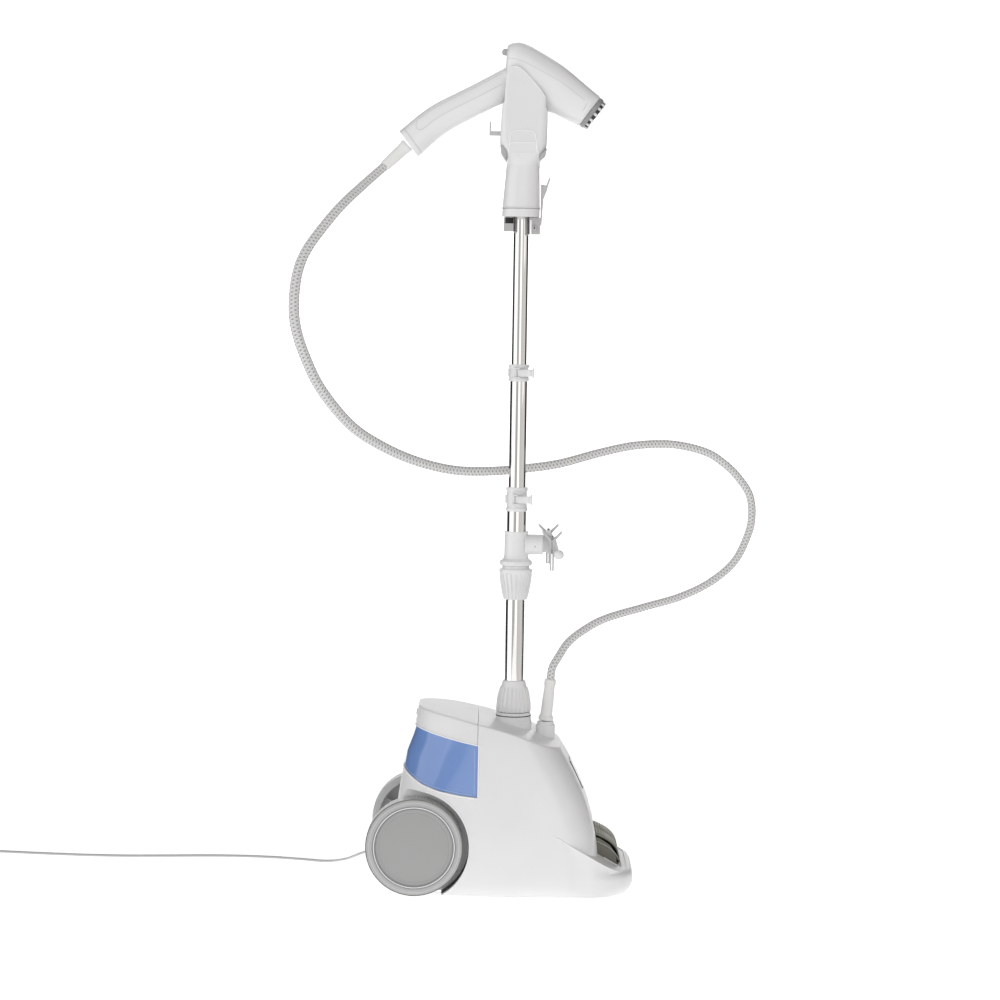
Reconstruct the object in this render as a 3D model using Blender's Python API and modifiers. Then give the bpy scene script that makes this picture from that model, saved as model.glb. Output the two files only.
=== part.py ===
"""Upright garment steamer: wheeled base with lift-out tank, telescopic pole, hanger collar,
cradle, handset, braided steam hose and mains lead. Metres, +Z up, +X to the pedals."""

import math

import bmesh
import bpy
from mathutils import Euler, Matrix, Vector

# Driving dimensions
GAP = 0.0003  # between pieces that touch
WALL = 0.003  # housing and tank mouldings
WHEEL_X, WHEEL_R, WHEEL_WIDTH = -0.1245, 0.0705, 0.034
TRACK_HALF = 0.130  # outer face of each wheel
ARCH_R, ARCH_DEPTH_Y = 0.0800, 0.0915  # wheel well radius, and where its inner wall stands
POLE_X = 0.0165
LOWER_TUBE_R, MIDDLE_TUBE_R, UPPER_TUBE_R = 0.0140, 0.0125, 0.0110
TUBE_WALL = 0.0012
LOWER_TUBE_Z = (0.1350, 0.5560)
MIDDLE_TUBE_Z = (0.3200, 0.7460)
UPPER_TUBE_Z = (0.5200, 1.0550)
SOCKET_TOP = 0.2840
BOSS_TOP = 0.2466
BASE_NUT_Z = (0.2525, 0.2988)
TWIST_NUT_Z = (0.4195, 0.4650)
COLLAR_Z = (0.4698, 0.5200)
ARM_Z, ARM_R, ARM_END_X = 0.5005, 0.01435, 0.0560
LOWER_CLAMP_Z, UPPER_CLAMP_Z = (0.5497, 0.5852), (0.7412, 0.7655)
SEAM_X = -0.0346  # plane where the tank and its cap meet the housing
PEDAL_HINGE = (0.098, 0.034)  # X and Z of the pedal shaft
HOSE_R, MAINS_R = 0.00675, 0.0025
HOSE_OUTLET = Vector((0.0643, 0.0, 0.2385))
HOSE_BOOT_TIP = Vector((0.0706, 0.0, 0.3010))
HANDLE_END = Vector((-0.1500, 0.0, 1.0845))
HANDSET_BOOT_TIP = Vector((-0.1847, 0.0, 1.0516))
GLAND_X, GLAND_Y, GLAND_Z = -0.1505, 0.030, 0.038
COIL_CENTRE = Vector((-0.870, 0.100))
COIL_INNER_R, COIL_OUTER_R, COIL_HEIGHT = 0.0275, 0.0435, 0.0118
CRADLE_HALF_Y, CRADLE_WALL = 0.0350, 0.0026

# The tower's outline by height: rear X, front X, half width, rear corner radii
TOWER = (
    (0.0015, -0.1400, 0.1400, 0.1270, (0.040, 0.045)),
    (0.0100, -0.1480, 0.1420, 0.1295, (0.045, 0.050)),
    (0.0600, -0.1530, 0.1415, 0.1285, (0.045, 0.050)),
    (0.0903, -0.1540, 0.1370, 0.1270, (0.047, 0.052)),
    (0.1190, -0.1520, 0.1288, 0.1240, (0.052, 0.056)),
    (0.1420, -0.1490, 0.1203, 0.1210, (0.060, 0.062)),
    (0.1617, -0.1465, 0.1112, 0.1175, (0.070, 0.068)),
    (0.1830, -0.1420, 0.1003, 0.1135, (0.080, 0.074)),
    (0.2073, -0.1370, 0.0863, 0.1080, (0.085, 0.075)),
    (0.2296, -0.1335, 0.0735, 0.1020, (0.085, 0.075)),
    (0.2500, -0.1305, 0.0600, 0.0965, (0.085, 0.073)),
    (0.2900, -0.1250, 0.0350, 0.0850, (0.080, 0.070)),
)
TOWER_FRONT_ROUND = (0.048, 0.060)
# The crown line of the roof, X and Z, and how fast the roof falls away sideways
ROOF = (
    (-0.160, 0.2050), (-0.142, 0.2370), (-0.132, 0.2487), (-0.123, 0.2610), (-0.112, 0.2680),
    (-0.098, 0.2705), (-0.075, 0.2690), (-0.0346, 0.2612), (0.000, 0.2515), (0.040, 0.2385),
    (0.0755, 0.2270), (0.110, 0.2150), (0.150, 0.2000),
)
ROOF_CROWN = 3.1
# The toe by height: front X and the radii of its front corners
TOE = (
    (0.0015, 0.1860, (0.058, 0.074)), (0.0060, 0.1920, (0.062, 0.078)),
    (0.0130, 0.1950, (0.065, 0.080)), (0.0250, 0.1950, (0.065, 0.080)),
    (0.0310, 0.1915, (0.063, 0.078)), (0.0335, 0.1860, (0.060, 0.075)),
    (0.1000, 0.1860, (0.060, 0.075)),
)
TOE_REAR, TOE_HALF = 0.0300, 0.1288
TOE_SLOPE = ((0.176, 0.0325), (0.157, 0.0430), (0.129, 0.0600), (0.086, 0.0845))
# Under side of the tank, X and Z
TANK_FLOOR = (
    (-0.0346, 0.1430), (-0.060, 0.1460), (-0.090, 0.1520), (-0.115, 0.1600), (-0.135, 0.1710),
    (-0.150, 0.1830), (-0.170, 0.2020),
)
CAP_LINE = (0.2160, 0.21)  # its height at the seam, and its rise per metre towards the rear

# Routes of the cords, from one end to the other
HOSE_ROUTE = (
    (0.0710, 0.000, 0.3045), (0.073, 0.002, 0.317), (0.082, 0.008, 0.333), (0.097, 0.020, 0.354),
    (0.122, 0.035, 0.372), (0.154, 0.052, 0.387), (0.210, 0.080, 0.401), (0.267, 0.100, 0.416),
    (0.314, 0.115, 0.438), (0.350, 0.125, 0.469), (0.370, 0.130, 0.510), (0.375, 0.130, 0.539),
    (0.371, 0.130, 0.569), (0.354, 0.128, 0.595), (0.331, 0.123, 0.617), (0.301, 0.118, 0.635),
    (0.250, 0.108, 0.646), (0.194, 0.096, 0.644), (0.141, 0.084, 0.633), (0.082, 0.070, 0.617),
    (0.036, 0.060, 0.610), (-0.024, 0.045, 0.605), (-0.079, 0.028, 0.607), (-0.134, 0.005, 0.621),
    (-0.184, -0.020, 0.644), (-0.228, -0.045, 0.675), (-0.269, -0.075, 0.727),
    (-0.292, -0.090, 0.775), (-0.305, -0.095, 0.816), (-0.308, -0.095, 0.853), (-0.304, -0.090, 0.892),
    (-0.294, -0.082, 0.922), (-0.276, -0.070, 0.951), (-0.246, -0.050, 0.990),
    (-0.214, -0.022, 1.0235), (-0.1870, 0.0000, 1.0494),
)
HOSE_SPLIT_Z = 0.835  # where the hose's two solids meet, on its loop beside the pole
MAINS_ROUTE = (
    (-0.1798, 0.0300, 0.0360), (-0.188, 0.0305, 0.0352), (-0.207, 0.0440, 0.0275),
    (-0.232, 0.0700, 0.0130), (-0.262, 0.0920, 0.0045), (-0.300, 0.1100, 0.0028),
    (-0.345, 0.1220, 0.0028), (-0.395, 0.1280, 0.0028), (-0.450, 0.1270, 0.0028),
    (-0.510, 0.1210, 0.0028), (-0.570, 0.1160, 0.0028), (-0.630, 0.1170, 0.0028),
    (-0.690, 0.1230, 0.0028), (-0.745, 0.1310, 0.0028), (-0.790, 0.1375, 0.0028),
    (-0.820, 0.1395, 0.0028), (-0.8464, 0.1395, 0.0028),
)

COLOURS = {
    "white": ((0.86, 0.86, 0.86), 0.35, 0.0),
    "tank_blue": ((0.18, 0.31, 0.62), 0.15, 0.0),
    "wheel_grey": ((0.42, 0.43, 0.42), 0.45, 0.0),
    "disc_grey": ((0.36, 0.37, 0.36), 0.50, 0.0),
    "olive": ((0.19, 0.19, 0.15), 0.50, 0.0),
    "light_grey": ((0.55, 0.55, 0.55), 0.45, 0.0),
    "dark": ((0.03, 0.03, 0.035), 0.20, 0.0),
    "chrome": ((0.80, 0.79, 0.77), 0.12, 1.0),
    "steel": ((0.55, 0.55, 0.55), 0.30, 1.0),
    "brass": ((0.62, 0.48, 0.22), 0.35, 1.0),
    "hose": ((0.70, 0.70, 0.69), 0.85, 0.0),
    "lead": ((0.80, 0.80, 0.79), 0.50, 0.0),
}


def prepare_scene():
    for obj in list(bpy.data.objects):
        bpy.data.objects.remove(obj)
    for name in ("garment_steamer", "cutters"):
        bpy.context.scene.collection.children.link(bpy.data.collections.new(name))


def material(name):
    found = bpy.data.materials.get(name)
    if found:
        return found
    colour, roughness, metallic = COLOURS[name]
    made = bpy.data.materials.new(name)
    made.use_nodes = True
    shader = made.node_tree.nodes["Principled BSDF"]
    shader.inputs["Base Color"].default_value = (*colour, 1)
    shader.inputs["Roughness"].default_value = roughness
    shader.inputs["Metallic"].default_value = metallic
    return made


def link(name, data, finish):
    """A part in the steamer's collection or, with no finish, a cutter."""
    obj = bpy.data.objects.new(name, data)
    bpy.data.collections["garment_steamer" if finish else "cutters"].objects.link(obj)
    if finish:
        data.materials.append(material(finish))
    else:
        obj.hide_render = True
        obj.display_type = "WIRE"
    return obj


def mesh_object(name, bm, finish):
    bmesh.ops.recalc_face_normals(bm, faces=bm.faces)
    mesh = bpy.data.meshes.new(name)
    bm.to_mesh(mesh)
    bm.free()
    return link(name, mesh, finish)


def box(name, low, high, finish=None, bevel=0.0):
    bm = bmesh.new()
    size = Vector(high) - Vector(low)
    centre = (Vector(high) + Vector(low)) / 2
    bmesh.ops.create_cube(bm, size=1, matrix=Matrix.Translation(centre) @ Matrix.Diagonal((*size, 1)))
    obj = mesh_object(name, bm, finish)
    if bevel:
        rounding = obj.modifiers.new("Rounding", "BEVEL")
        rounding.width = bevel
        rounding.segments = 2
    return obj


def rod(name, start, end, radius, finish=None, end_radius=None, sides=32):
    start, end = Vector(start), Vector(end)
    turn = (end - start).to_track_quat("Z", "Y").to_matrix().to_4x4()
    bm = bmesh.new()
    bmesh.ops.create_cone(
        bm, cap_ends=True, segments=sides, radius1=radius, radius2=end_radius or radius,
        depth=(end - start).length, matrix=Matrix.Translation((start + end) / 2) @ turn,
    )
    return mesh_object(name, bm, finish)


def turned(name, profile, finish, centre=(0, 0, 0), turn=(0, 0, 0), steps=32):
    """A profile of (radius, height) from its top outwards and down. One off the axis is a ring."""
    ring = min(radius for radius, _ in profile) > 0
    edges = [(i, i + 1) for i in range(len(profile) - 1)]
    if ring:
        edges.append((len(profile) - 1, 0))
    mesh = bpy.data.meshes.new(name)
    mesh.from_pydata([(radius, 0, height) for radius, height in profile], edges, [])
    obj = link(name, mesh, finish)
    obj.location = centre
    obj.rotation_euler = turn
    screw = obj.modifiers.new("Turn", "SCREW")
    screw.steps = screw.render_steps = steps
    screw.use_merge_vertices = True
    screw.merge_threshold = 0.00001
    return obj


def sleeve(name, outer, bore, low, high, finish, centre=(0, 0), steps=32):
    profile = ((outer, high), (outer, low), (bore, low), (bore, high))
    return turned(name, profile, finish, (*centre, 0), steps=steps)


def plate(name, outline, low_y, high_y, finish=None):
    """An outline in X and Z, extruded along Y."""
    curve = bpy.data.curves.new(name, "CURVE")
    curve.dimensions = "2D"
    curve.fill_mode = "BOTH"
    curve.extrude = (high_y - low_y) / 2
    spline = curve.splines.new("POLY")
    spline.points.add(len(outline) - 1)
    for point, (x, z) in zip(spline.points, outline):
        point.co = (x, z, 0, 1)
    spline.use_cyclic_u = True
    flat = bpy.data.objects.new(name + "_outline", curve)
    bpy.context.scene.collection.objects.link(flat)
    mesh = bpy.data.meshes.new_from_object(flat.evaluated_get(bpy.context.evaluated_depsgraph_get()))
    bpy.data.objects.remove(flat)
    bm = bmesh.new()
    bm.from_mesh(mesh)
    bmesh.ops.remove_doubles(bm, verts=bm.verts, dist=0.00001)
    upright = Matrix.Translation((0, (low_y + high_y) / 2, 0)) @ Matrix.Rotation(math.pi / 2, 4, "X")
    bmesh.ops.transform(bm, matrix=upright, verts=bm.verts)
    bpy.data.meshes.remove(mesh)
    return mesh_object(name, bm, finish)


def loft(name, rings, finish=None):
    bm = bmesh.new()
    loops = [[bm.verts.new(point) for point in ring] for ring in rings]
    count = len(loops[0])
    for low, high in zip(loops, loops[1:]):
        for i in range(count):
            j = (i + 1) % count
            bm.faces.new((low[i], low[j], high[j], high[i]))
    bm.faces.new(loops[0][::-1])
    bm.faces.new(loops[-1])
    return mesh_object(name, bm, finish)


def tube(name, points, radius, finish, resolution=2):
    curve = bpy.data.curves.new(name, "CURVE")
    curve.dimensions = "3D"
    curve.bevel_depth = radius
    curve.bevel_resolution = resolution
    curve.use_fill_caps = True
    spline = curve.splines.new("POLY")
    spline.points.add(len(points) - 1)
    for point, place in zip(spline.points, points):
        point.co = (*place, 1)
    return link(name, curve, finish)


def smooth_route(route, spacing):
    """Evenly spaced points along a Catmull-Rom curve through the route."""
    knots = [Vector(point) for point in route]
    knots = [2 * knots[0] - knots[1], *knots, 2 * knots[-1] - knots[-2]]
    fine = [knots[1]]
    for a, b, c, d in zip(knots, knots[1:], knots[2:], knots[3:]):
        for step in range(1, 17):
            t = step / 16
            fine.append(0.5 * (2 * b + (c - a) * t + (2 * a - 5 * b + 4 * c - d) * t**2
                               + (3 * b - a - 3 * c + d) * t**3))
    length = sum((q - p).length for p, q in zip(fine, fine[1:]))
    count = round(length / spacing)
    points, walked, target = [fine[0]], 0.0, 1
    for p, q in zip(fine, fine[1:]):
        step = (q - p).length
        while target < count and walked + step >= length * target / count:
            points.append(p.lerp(q, (length * target / count - walked) / step))
            target += 1
        walked += step
    return [*points, fine[-1]]


def combine(obj, other, operation="DIFFERENCE"):
    modifier = obj.modifiers.new(operation.title(), "BOOLEAN")
    modifier.operation = operation
    modifier.object = other
    return obj


def origin_at(obj, place):
    """Moves a mesh object's origin, for instance onto its joint's axis."""
    place = Vector(place)
    obj.data.transform(Matrix.Translation(-place))
    obj.location = place
    return obj


def plan_ring(rear, front, half, rear_round, front_round, height, steps=7):
    ring = []
    for x, y, radii, start in (
        (front, half, front_round, 0), (rear, half, rear_round, 90),
        (rear, -half, rear_round, 180), (front, -half, front_round, 270),
    ):
        centre_x = x + math.copysign(radii[0], -1 if x == front else 1)
        centre_y = y - math.copysign(radii[1], y)
        for step in range(steps + 1):
            angle = math.radians(start + 90 * step / steps)
            ring.append((centre_x + radii[0] * math.cos(angle),
                         centre_y + radii[1] * math.sin(angle), height))
    return ring


def body_solid(name, inset):
    """The base's outer form, or the same form inset on every side and open below."""
    rings = [
        plan_ring(rear + inset, front - inset, half - inset, radii, TOWER_FRONT_ROUND, height)
        for height, rear, front, half, radii in TOWER
    ]
    toe_rings = [
        plan_ring(TOE_REAR, front - inset, TOE_HALF - inset, (0.01, 0.01), radii, height)
        for height, front, radii in TOE
    ]
    if inset:
        for ring_set in (rings, toe_rings):
            ring_set[0] = [(x, y, -0.01) for x, y, _ in ring_set[0]]
    tower = loft(name, rings)
    half_width, foot = 0.15, -0.05
    arch = [half_width * (1 - step / 9) for step in range(19)]
    roof_rings = [
        [(x, -half_width, foot), (x, half_width, foot)]
        + [(x, y, crown - inset - ROOF_CROWN * y * y) for y in arch]
        for x, crown in ROOF
    ]
    toe = loft(name + "_toe", toe_rings)
    slope = [(x, z - inset) for x, z in TOE_SLOPE]
    wedge = plate(name + "_slope", [(0.25, slope[0][1]), *slope, (0.0, slope[-1][1] + 0.05),
                                    (0.0, 0.3), (0.25, 0.3)], -0.2, 0.2)
    combine(tower, loft(name + "_roof", roof_rings), "INTERSECT")
    combine(toe, wedge)
    return combine(tower, toe, "UNION")


def tank_bay(name, inset, ceiling=0.4):
    """The space behind the seam that the tank and cap fill, inset on its flat sides."""
    floor = [(x - inset * (x == SEAM_X), z + inset) for x, z in TANK_FLOOR]
    rear = floor[-1][0]
    return plate(name, [*floor, (rear, ceiling), (floor[0][0], ceiling)], -0.2, 0.2)


def cap_plane(name, rise, above):
    """Everything above, or below, the line between the tank and its cap."""
    height, slope = CAP_LINE
    near, far = 0.02, -0.20
    line = [(x, height + slope * (SEAM_X - x) + rise) for x in (far, near)]
    limit = 0.4 if above else 0.0
    return plate(name, [*line, (near, limit), (far, limit)], -0.2, 0.2)


def housing():
    shell = body_solid("housing", 0)
    bpy.data.collections["cutters"].objects.unlink(shell)
    bpy.data.collections["garment_steamer"].objects.link(shell)
    shell.data.materials.append(material("white"))
    shell.hide_render = False
    shell.display_type = "TEXTURED"
    inner = body_solid("housing_inside", WALL)
    combine(inner, tank_bay("bay_walls", -WALL))
    for side in (-1, 1):
        wall = rod(f"well_wall_{side}", (WHEEL_X, side * (ARCH_DEPTH_Y - WALL), WHEEL_R),
                   (WHEEL_X, side * 0.16, WHEEL_R), ARCH_R + WALL, sides=48)
        combine(inner, wall)
    combine(inner, rod("boss_wall", (POLE_X, 0, 0.19), (POLE_X, 0, 0.3), 0.0250))
    boss = rod("boss", (POLE_X, 0, 0.19), (POLE_X, 0, BOSS_TOP), 0.0275, end_radius=0.0250)
    outlet = rod("outlet_pad", (HOSE_OUTLET.x, 0, 0.205), (HOSE_OUTLET.x, 0, HOSE_OUTLET.z),
                 0.0125, sides=24)
    combine(shell, boss, "UNION")
    combine(shell, outlet, "UNION")
    combine(shell, inner)
    combine(shell, tank_bay("bay", 0))
    for side in (-1, 1):
        combine(shell, rod(f"well_{side}", (WHEEL_X, side * ARCH_DEPTH_Y, WHEEL_R),
                           (WHEEL_X, side * 0.16, WHEEL_R), ARCH_R, sides=48))
    combine(shell, rod("axle_hole", (WHEEL_X, -0.12, WHEEL_R), (WHEEL_X, 0.12, WHEEL_R), 0.0043,
                       sides=16))
    combine(shell, rod("nut_room", (POLE_X, 0, BOSS_TOP), (POLE_X, 0, 0.3), 0.0268))
    combine(shell, rod("pole_hole", (POLE_X, 0, 0.17), (POLE_X, 0, 0.3), 0.0212))
    combine(shell, rod("hose_hole", (HOSE_OUTLET.x, 0, 0.18), (HOSE_OUTLET.x, 0, 0.26), 0.0060,
                       sides=16))
    combine(shell, box("pedal_slot", (0.110, -0.0545, 0.0200), (0.1790, 0.0545, 0.0965)))
    combine(shell, rod("gland_hole", (-0.17, GLAND_Y, GLAND_Z), (-0.13, GLAND_Y, GLAND_Z), 0.0063,
                       sides=24))
    combine(shell, rod("valve_hole", (-0.085, 0, 0.12), (-0.085, 0, 0.17), 0.0060, sides=16))
    combine(shell, window_block("window_hole", 0.0, 0.02))


def window_block(name, shrink, depth, finish=None):
    """The display window: a plate that follows the tower's front slope."""
    top, foot = Vector((0.1013, 0, 0.1830)), Vector((0.1207, 0, 0.1425))
    along = (foot - top).normalized()
    out = Vector((-along.z, 0, along.x))
    block = box(name, (-0.023 + shrink, shrink, -depth), (0.023 - shrink,
                (foot - top).length - shrink, 0.0008), finish)
    frame = Matrix((Vector((0, 1, 0)), along, out)).transposed().to_4x4()
    block.data.transform(Matrix.Translation(top) @ frame)
    if frame.determinant() < 0:
        block.data.flip_normals()
    return block


def tank():
    whole = body_solid("tank_whole", GAP)
    for name, above, finish in (("water_tank", False, "tank_blue"), ("tank_cap", True, "white")):
        part = tank_bay(name, GAP)
        bpy.data.collections["cutters"].objects.unlink(part)
        bpy.data.collections["garment_steamer"].objects.link(part)
        part.data.materials.append(material(finish))
        part.hide_render = False
        part.display_type = "TEXTURED"
        combine(part, whole, "INTERSECT")
        combine(part, cap_plane(name + "_side", GAP / 2 if above else -GAP / 2, above), "INTERSECT")
    hollow = tank_bay("tank_hollow", WALL)
    combine(hollow, body_solid("tank_inside", WALL), "INTERSECT")
    combine(bpy.data.objects["water_tank"], hollow)
    lid = tank_bay("cap_hollow", WALL)
    combine(lid, body_solid("cap_inside", WALL + 0.001), "INTERSECT")
    combine(bpy.data.objects["tank_cap"], lid)
    combine(bpy.data.objects["water_tank"],
            rod("tank_valve_hole", (-0.085, 0, 0.12), (-0.085, 0, 0.18), 0.0056, sides=16))
    turned("tank_valve", ((0, 0.1620), (0.0085, 0.1620), (0.0085, 0.1592), (0.0050, 0.1592),
                          (0.0050, 0.1400), (0, 0.1400)), "light_grey", (-0.085, 0, 0), steps=20)
    sleeve("valve_seat", 0.0120, 0.0056, 0.1260, 0.1445, "light_grey", (-0.085, 0), steps=20)


def base_cover():
    rear, front, half = -0.130, 0.178, 0.116
    well = WHEEL_X + ARCH_R + 0.006
    inner = ARCH_DEPTH_Y - WALL - 0.0015
    outline = [
        (rear, -inner), (well, -inner), (well, -half), (0.125, -half), (front, -0.060),
        (front, 0.060), (0.125, half), (well, half), (well, inner), (rear, inner),
    ]
    low, high = 0.0030, 0.0055
    rings = [[(x, y, z) for x, y in outline] for z in (low, high)]
    loft("base_plate", rings, "light_grey")
    for side, name in ((-1, "right_foot"), (1, "left_foot")):
        turned(name, ((0, low - GAP), (0.0100, low - GAP), (0.0110, 0.0), (0, 0.0)), "dark",
               (0.130, side * 0.075, 0), steps=20)


def wheels():
    reach = TRACK_HALF - 0.0045
    turned("axle", ((0, reach), (0.0040, reach), (0.0040, -reach), (0, -reach)), "steel",
           (WHEEL_X, 0, WHEEL_R), (math.pi / 2, 0, 0), steps=16)
    inside = -WHEEL_WIDTH
    rim = (
        (WHEEL_R - 0.0015, 0.0), (WHEEL_R, -0.0025), (WHEEL_R, inside), (0.0600, inside),
        (0.0600, -0.0110), (0.0110, -0.0110), (0.0110, inside), (0.0044, inside),
        (0.0044, -0.0065), (0.0600, -0.0065), (0.0600, 0.0),
    )
    cap = ((0, -0.0018), (0.0560, -0.0018), (0.0572, -0.0008), (0.0597, -0.0008),
           (0.0597, -0.0040), (0, -0.0040))
    for side, name in ((-1, "right_wheel"), (1, "left_wheel")):
        centre = (WHEEL_X, side * TRACK_HALF, WHEEL_R)
        turn = (-side * math.pi / 2, 0, 0)
        turned(name, rim, "wheel_grey", centre, turn, steps=40)
        turned(name + "_cap", cap, "disc_grey", centre, turn, steps=36)


def pedals():
    hinge_x, hinge_z = PEDAL_HINGE
    rod("pedal_shaft", (hinge_x, -0.060, hinge_z), (hinge_x, 0.060, hinge_z), 0.0025, "steel", sides=12)
    outline = [
        (0.1190, 0.0925), (0.1380, 0.0880), (0.1520, 0.0805), (0.1620, 0.0730), (0.1700, 0.0632),
        (0.1745, 0.0520), (0.1762, 0.0400), (0.1730, 0.0360), (0.1700, 0.0360), (0.1690, 0.0520),
        (0.1600, 0.0670), (0.1450, 0.0790), (0.1220, 0.0860), (0.1220, 0.0400), (0.1050, 0.0260),
        (0.0930, 0.0260), (0.0930, 0.0420), (0.1050, 0.0460), (0.1190, 0.0600),
    ]
    for side, name in ((-1, "right_pedal"), (1, "left_pedal")):
        low, high = sorted((side * 0.0015, side * 0.0535))
        lever = plate(name, outline, low, high, "olive")
        combine(lever, rod(name + "_bore", (hinge_x, -0.07, hinge_z), (hinge_x, 0.07, hinge_z),
                           0.0029, sides=12))
        origin_at(lever, (hinge_x, side * 0.0275, hinge_z))
        radius, wire, turns, steps = 0.0050, 0.0006, 4, 32
        foot, height = 0.0068, 0.0560
        spring = [
            (0.1450 + radius * math.cos(2 * math.pi * turns * step / steps),
             side * 0.0275 + radius * math.sin(2 * math.pi * turns * step / steps),
             foot + height * step / steps)
            for step in range(steps + 1)
        ]
        tube(name + "_spring", spring, wire, "steel", 0)
    box("pedal_switches", (0.0990, -0.0400, 0.0062), (0.1280, 0.0400, 0.0215), "dark", 0.001)


def inside():
    box("boiler", (-0.020, -0.045, 0.0120), (0.070, 0.045, 0.0850), "steel", 0.008)
    box("control_board", (0.0900, -0.030, 0.1050), (0.0916, 0.030, 0.1350), "dark")
    feed = [(-0.085, 0, 0.1257), (-0.085, 0, 0.105), (-0.080, 0, 0.085), (-0.066, 0, 0.068),
            (-0.045, 0, 0.060), (-0.0204, 0, 0.060)]
    tube("feed_tube", smooth_route(feed, 0.010), 0.0045, "lead")
    steam = [(0.050, 0, 0.0854), (0.050, 0, 0.110), (0.054, 0, 0.140), (0.062, 0, 0.170),
             (0.0643, 0, 0.200), (0.0643, 0, 0.2372)]
    tube("steam_pipe", smooth_route(steam, 0.012), 0.0045, "brass")
    window_block("display_window", GAP, 0.0020, "dark")


def pole():
    axis = (POLE_X, 0, 0)
    turned("pole_socket", (
        (0, 0.1347), (0.0143, 0.1347), (0.0143, SOCKET_TOP), (0.0195, SOCKET_TOP),
        (0.0195, BOSS_TOP + 0.0005), (0.0208, BOSS_TOP + 0.0005), (0.0208, 0.1300), (0, 0.1300),
    ), "white", axis)
    nut_foot, nut_top = BASE_NUT_Z
    turned("base_collar_nut", (
        (0.0165, nut_top), (0.0250, nut_foot + 0.008), (0.0243, nut_foot), (0.0199, nut_foot),
        (0.0199, SOCKET_TOP + 0.0015), (0.0144, SOCKET_TOP + 0.003), (0.0144, nut_top),
    ), "white", axis)
    for name, radius, (low, high) in (
        ("pole_lower", LOWER_TUBE_R, LOWER_TUBE_Z), ("pole_middle", MIDDLE_TUBE_R, MIDDLE_TUBE_Z),
        ("pole_upper", UPPER_TUBE_R, UPPER_TUBE_Z),
    ):
        sleeve(name, radius, radius - TUBE_WALL, low, high, "chrome", (POLE_X, 0))
    clamp("lower_clamp", LOWER_CLAMP_Z, LOWER_TUBE_R, MIDDLE_TUBE_R, LOWER_TUBE_Z[1], 0.0155)
    clamp("upper_clamp", UPPER_CLAMP_Z, MIDDLE_TUBE_R, UPPER_TUBE_R, MIDDLE_TUBE_Z[1], 0.0145)


def clamp(name, span, lower_r, upper_r, tube_top, outer):
    """A sleeve that grips two tubes, with two lugs and a lever that swings on them."""
    low, high = span
    step = tube_top + GAP
    body = turned(name, (
        (outer, high), (outer, low), (lower_r + GAP, low), (lower_r + GAP, step),
        (upper_r + GAP, step), (upper_r + GAP, high),
    ), "white", (POLE_X, 0, 0))
    middle = (low + high) / 2
    front = -outer - 0.0070
    for number, lift in enumerate((-0.0075, 0.0055)):
        lug = box(f"{name}_lug_{number}", (POLE_X - 0.0070, front, middle + lift),
                  (POLE_X + 0.0010, -outer + 0.0008, middle + lift + 0.0020))
        combine(body, lug, "UNION")
    hinge = Vector((POLE_X - 0.0030, -outer - 0.0035, middle))
    foot, top = middle - 0.0052, middle + 0.0052
    outline = [(-0.0030, -0.0032), (0.0180, -0.0032), (0.0225, -0.0060), (0.0255, -0.0060),
               (0.0255, 0.0130), (0.0225, 0.0130), (0.0200, 0.0050), (0.0150, 0.0005), (-0.0030, 0.0005)]
    rings = [[(hinge.x + x, hinge.y + y, z) for x, y in outline] for z in (foot, top)]
    lever = loft(name + "_lever", rings, "white")
    origin_at(lever, hinge)


def collar():
    low, high = COLLAR_Z
    bore = LOWER_TUBE_R + GAP
    body = turned("tee_collar", (
        (0.0170, high), (0.0170, low + 0.014), (0.0188, low + 0.0095), (0.0235, low + 0.0070),
        (0.0235, low), (bore, low), (bore, high),
    ), "white", (POLE_X, 0, 0))
    arm = rod("arm_stub", (POLE_X + 0.0145, 0, ARM_Z), (ARM_END_X, 0, ARM_Z), ARM_R)
    combine(arm, rod("arm_bore", (0, 0, low - 0.01), (0, 0, high + 0.01), bore + 0.001))
    bpy.data.objects["arm_bore"].location.x = POLE_X
    combine(body, arm, "UNION")
    foot, top = TWIST_NUT_Z
    turned("twist_nut", (
        (0.0200, low - GAP), (0.0200, top), (0.0243, top - 0.0005), (0.0243, top - 0.006),
        (0.0178, foot), (bore, foot), (bore, low - GAP),
    ), "white", (POLE_X, 0, 0))


def hanger():
    """The clip hanger on the arm's end: a bracket with a ball knob, and two spring clips."""
    start = ARM_END_X + GAP
    knob_x, knob_z, knob_r = 0.0795, 0.4875, 0.0072
    web = plate("clip_bracket", [(start, 0.5210), (0.0660, 0.5220), (0.0755, 0.5080),
                                 (0.0820, 0.4850), (0.0770, 0.4850), (start, 0.4900)],
                -0.0016, 0.0016, "white")
    combine(web, rod("knob_peg", (knob_x, 0, knob_z), (knob_x, -0.0160, knob_z), 0.0018, sides=12),
            "UNION")
    bm = bmesh.new()
    bmesh.ops.create_uvsphere(bm, u_segments=14, v_segments=9, radius=knob_r,
                              matrix=Matrix.Translation((knob_x, -0.0200, knob_z)))
    combine(web, mesh_object("knob_ball", bm, None), "UNION")
    origin_at(web, (start, 0, ARM_Z))
    side_view = [(-0.0155, 0.0125), (-0.0132, 0.0145), (-0.0016, 0.0035), (-0.0003, 0.0005),
                 (-0.0003, -0.0440), (-0.0032, -0.0440), (-0.0036, -0.0100), (-0.0052, 0.0010)]
    for name, pivot, near in (("rear_clip", Vector((0.0640, 0, 0.5165)), 0.0019),
                              ("front_clip", Vector((0.0694, 0, 0.5068)), -0.0101)):
        for mirror, label in ((1, "fixed_jaw"), (-1, "moving_jaw")):
            outline = [(pivot.x + mirror * x, pivot.z + z) for x, z in side_view]
            jaw = plate(f"{name}_{label}", outline, near, near + 0.0082, "white")
            origin_at(jaw, (pivot.x, near, pivot.z))


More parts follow.
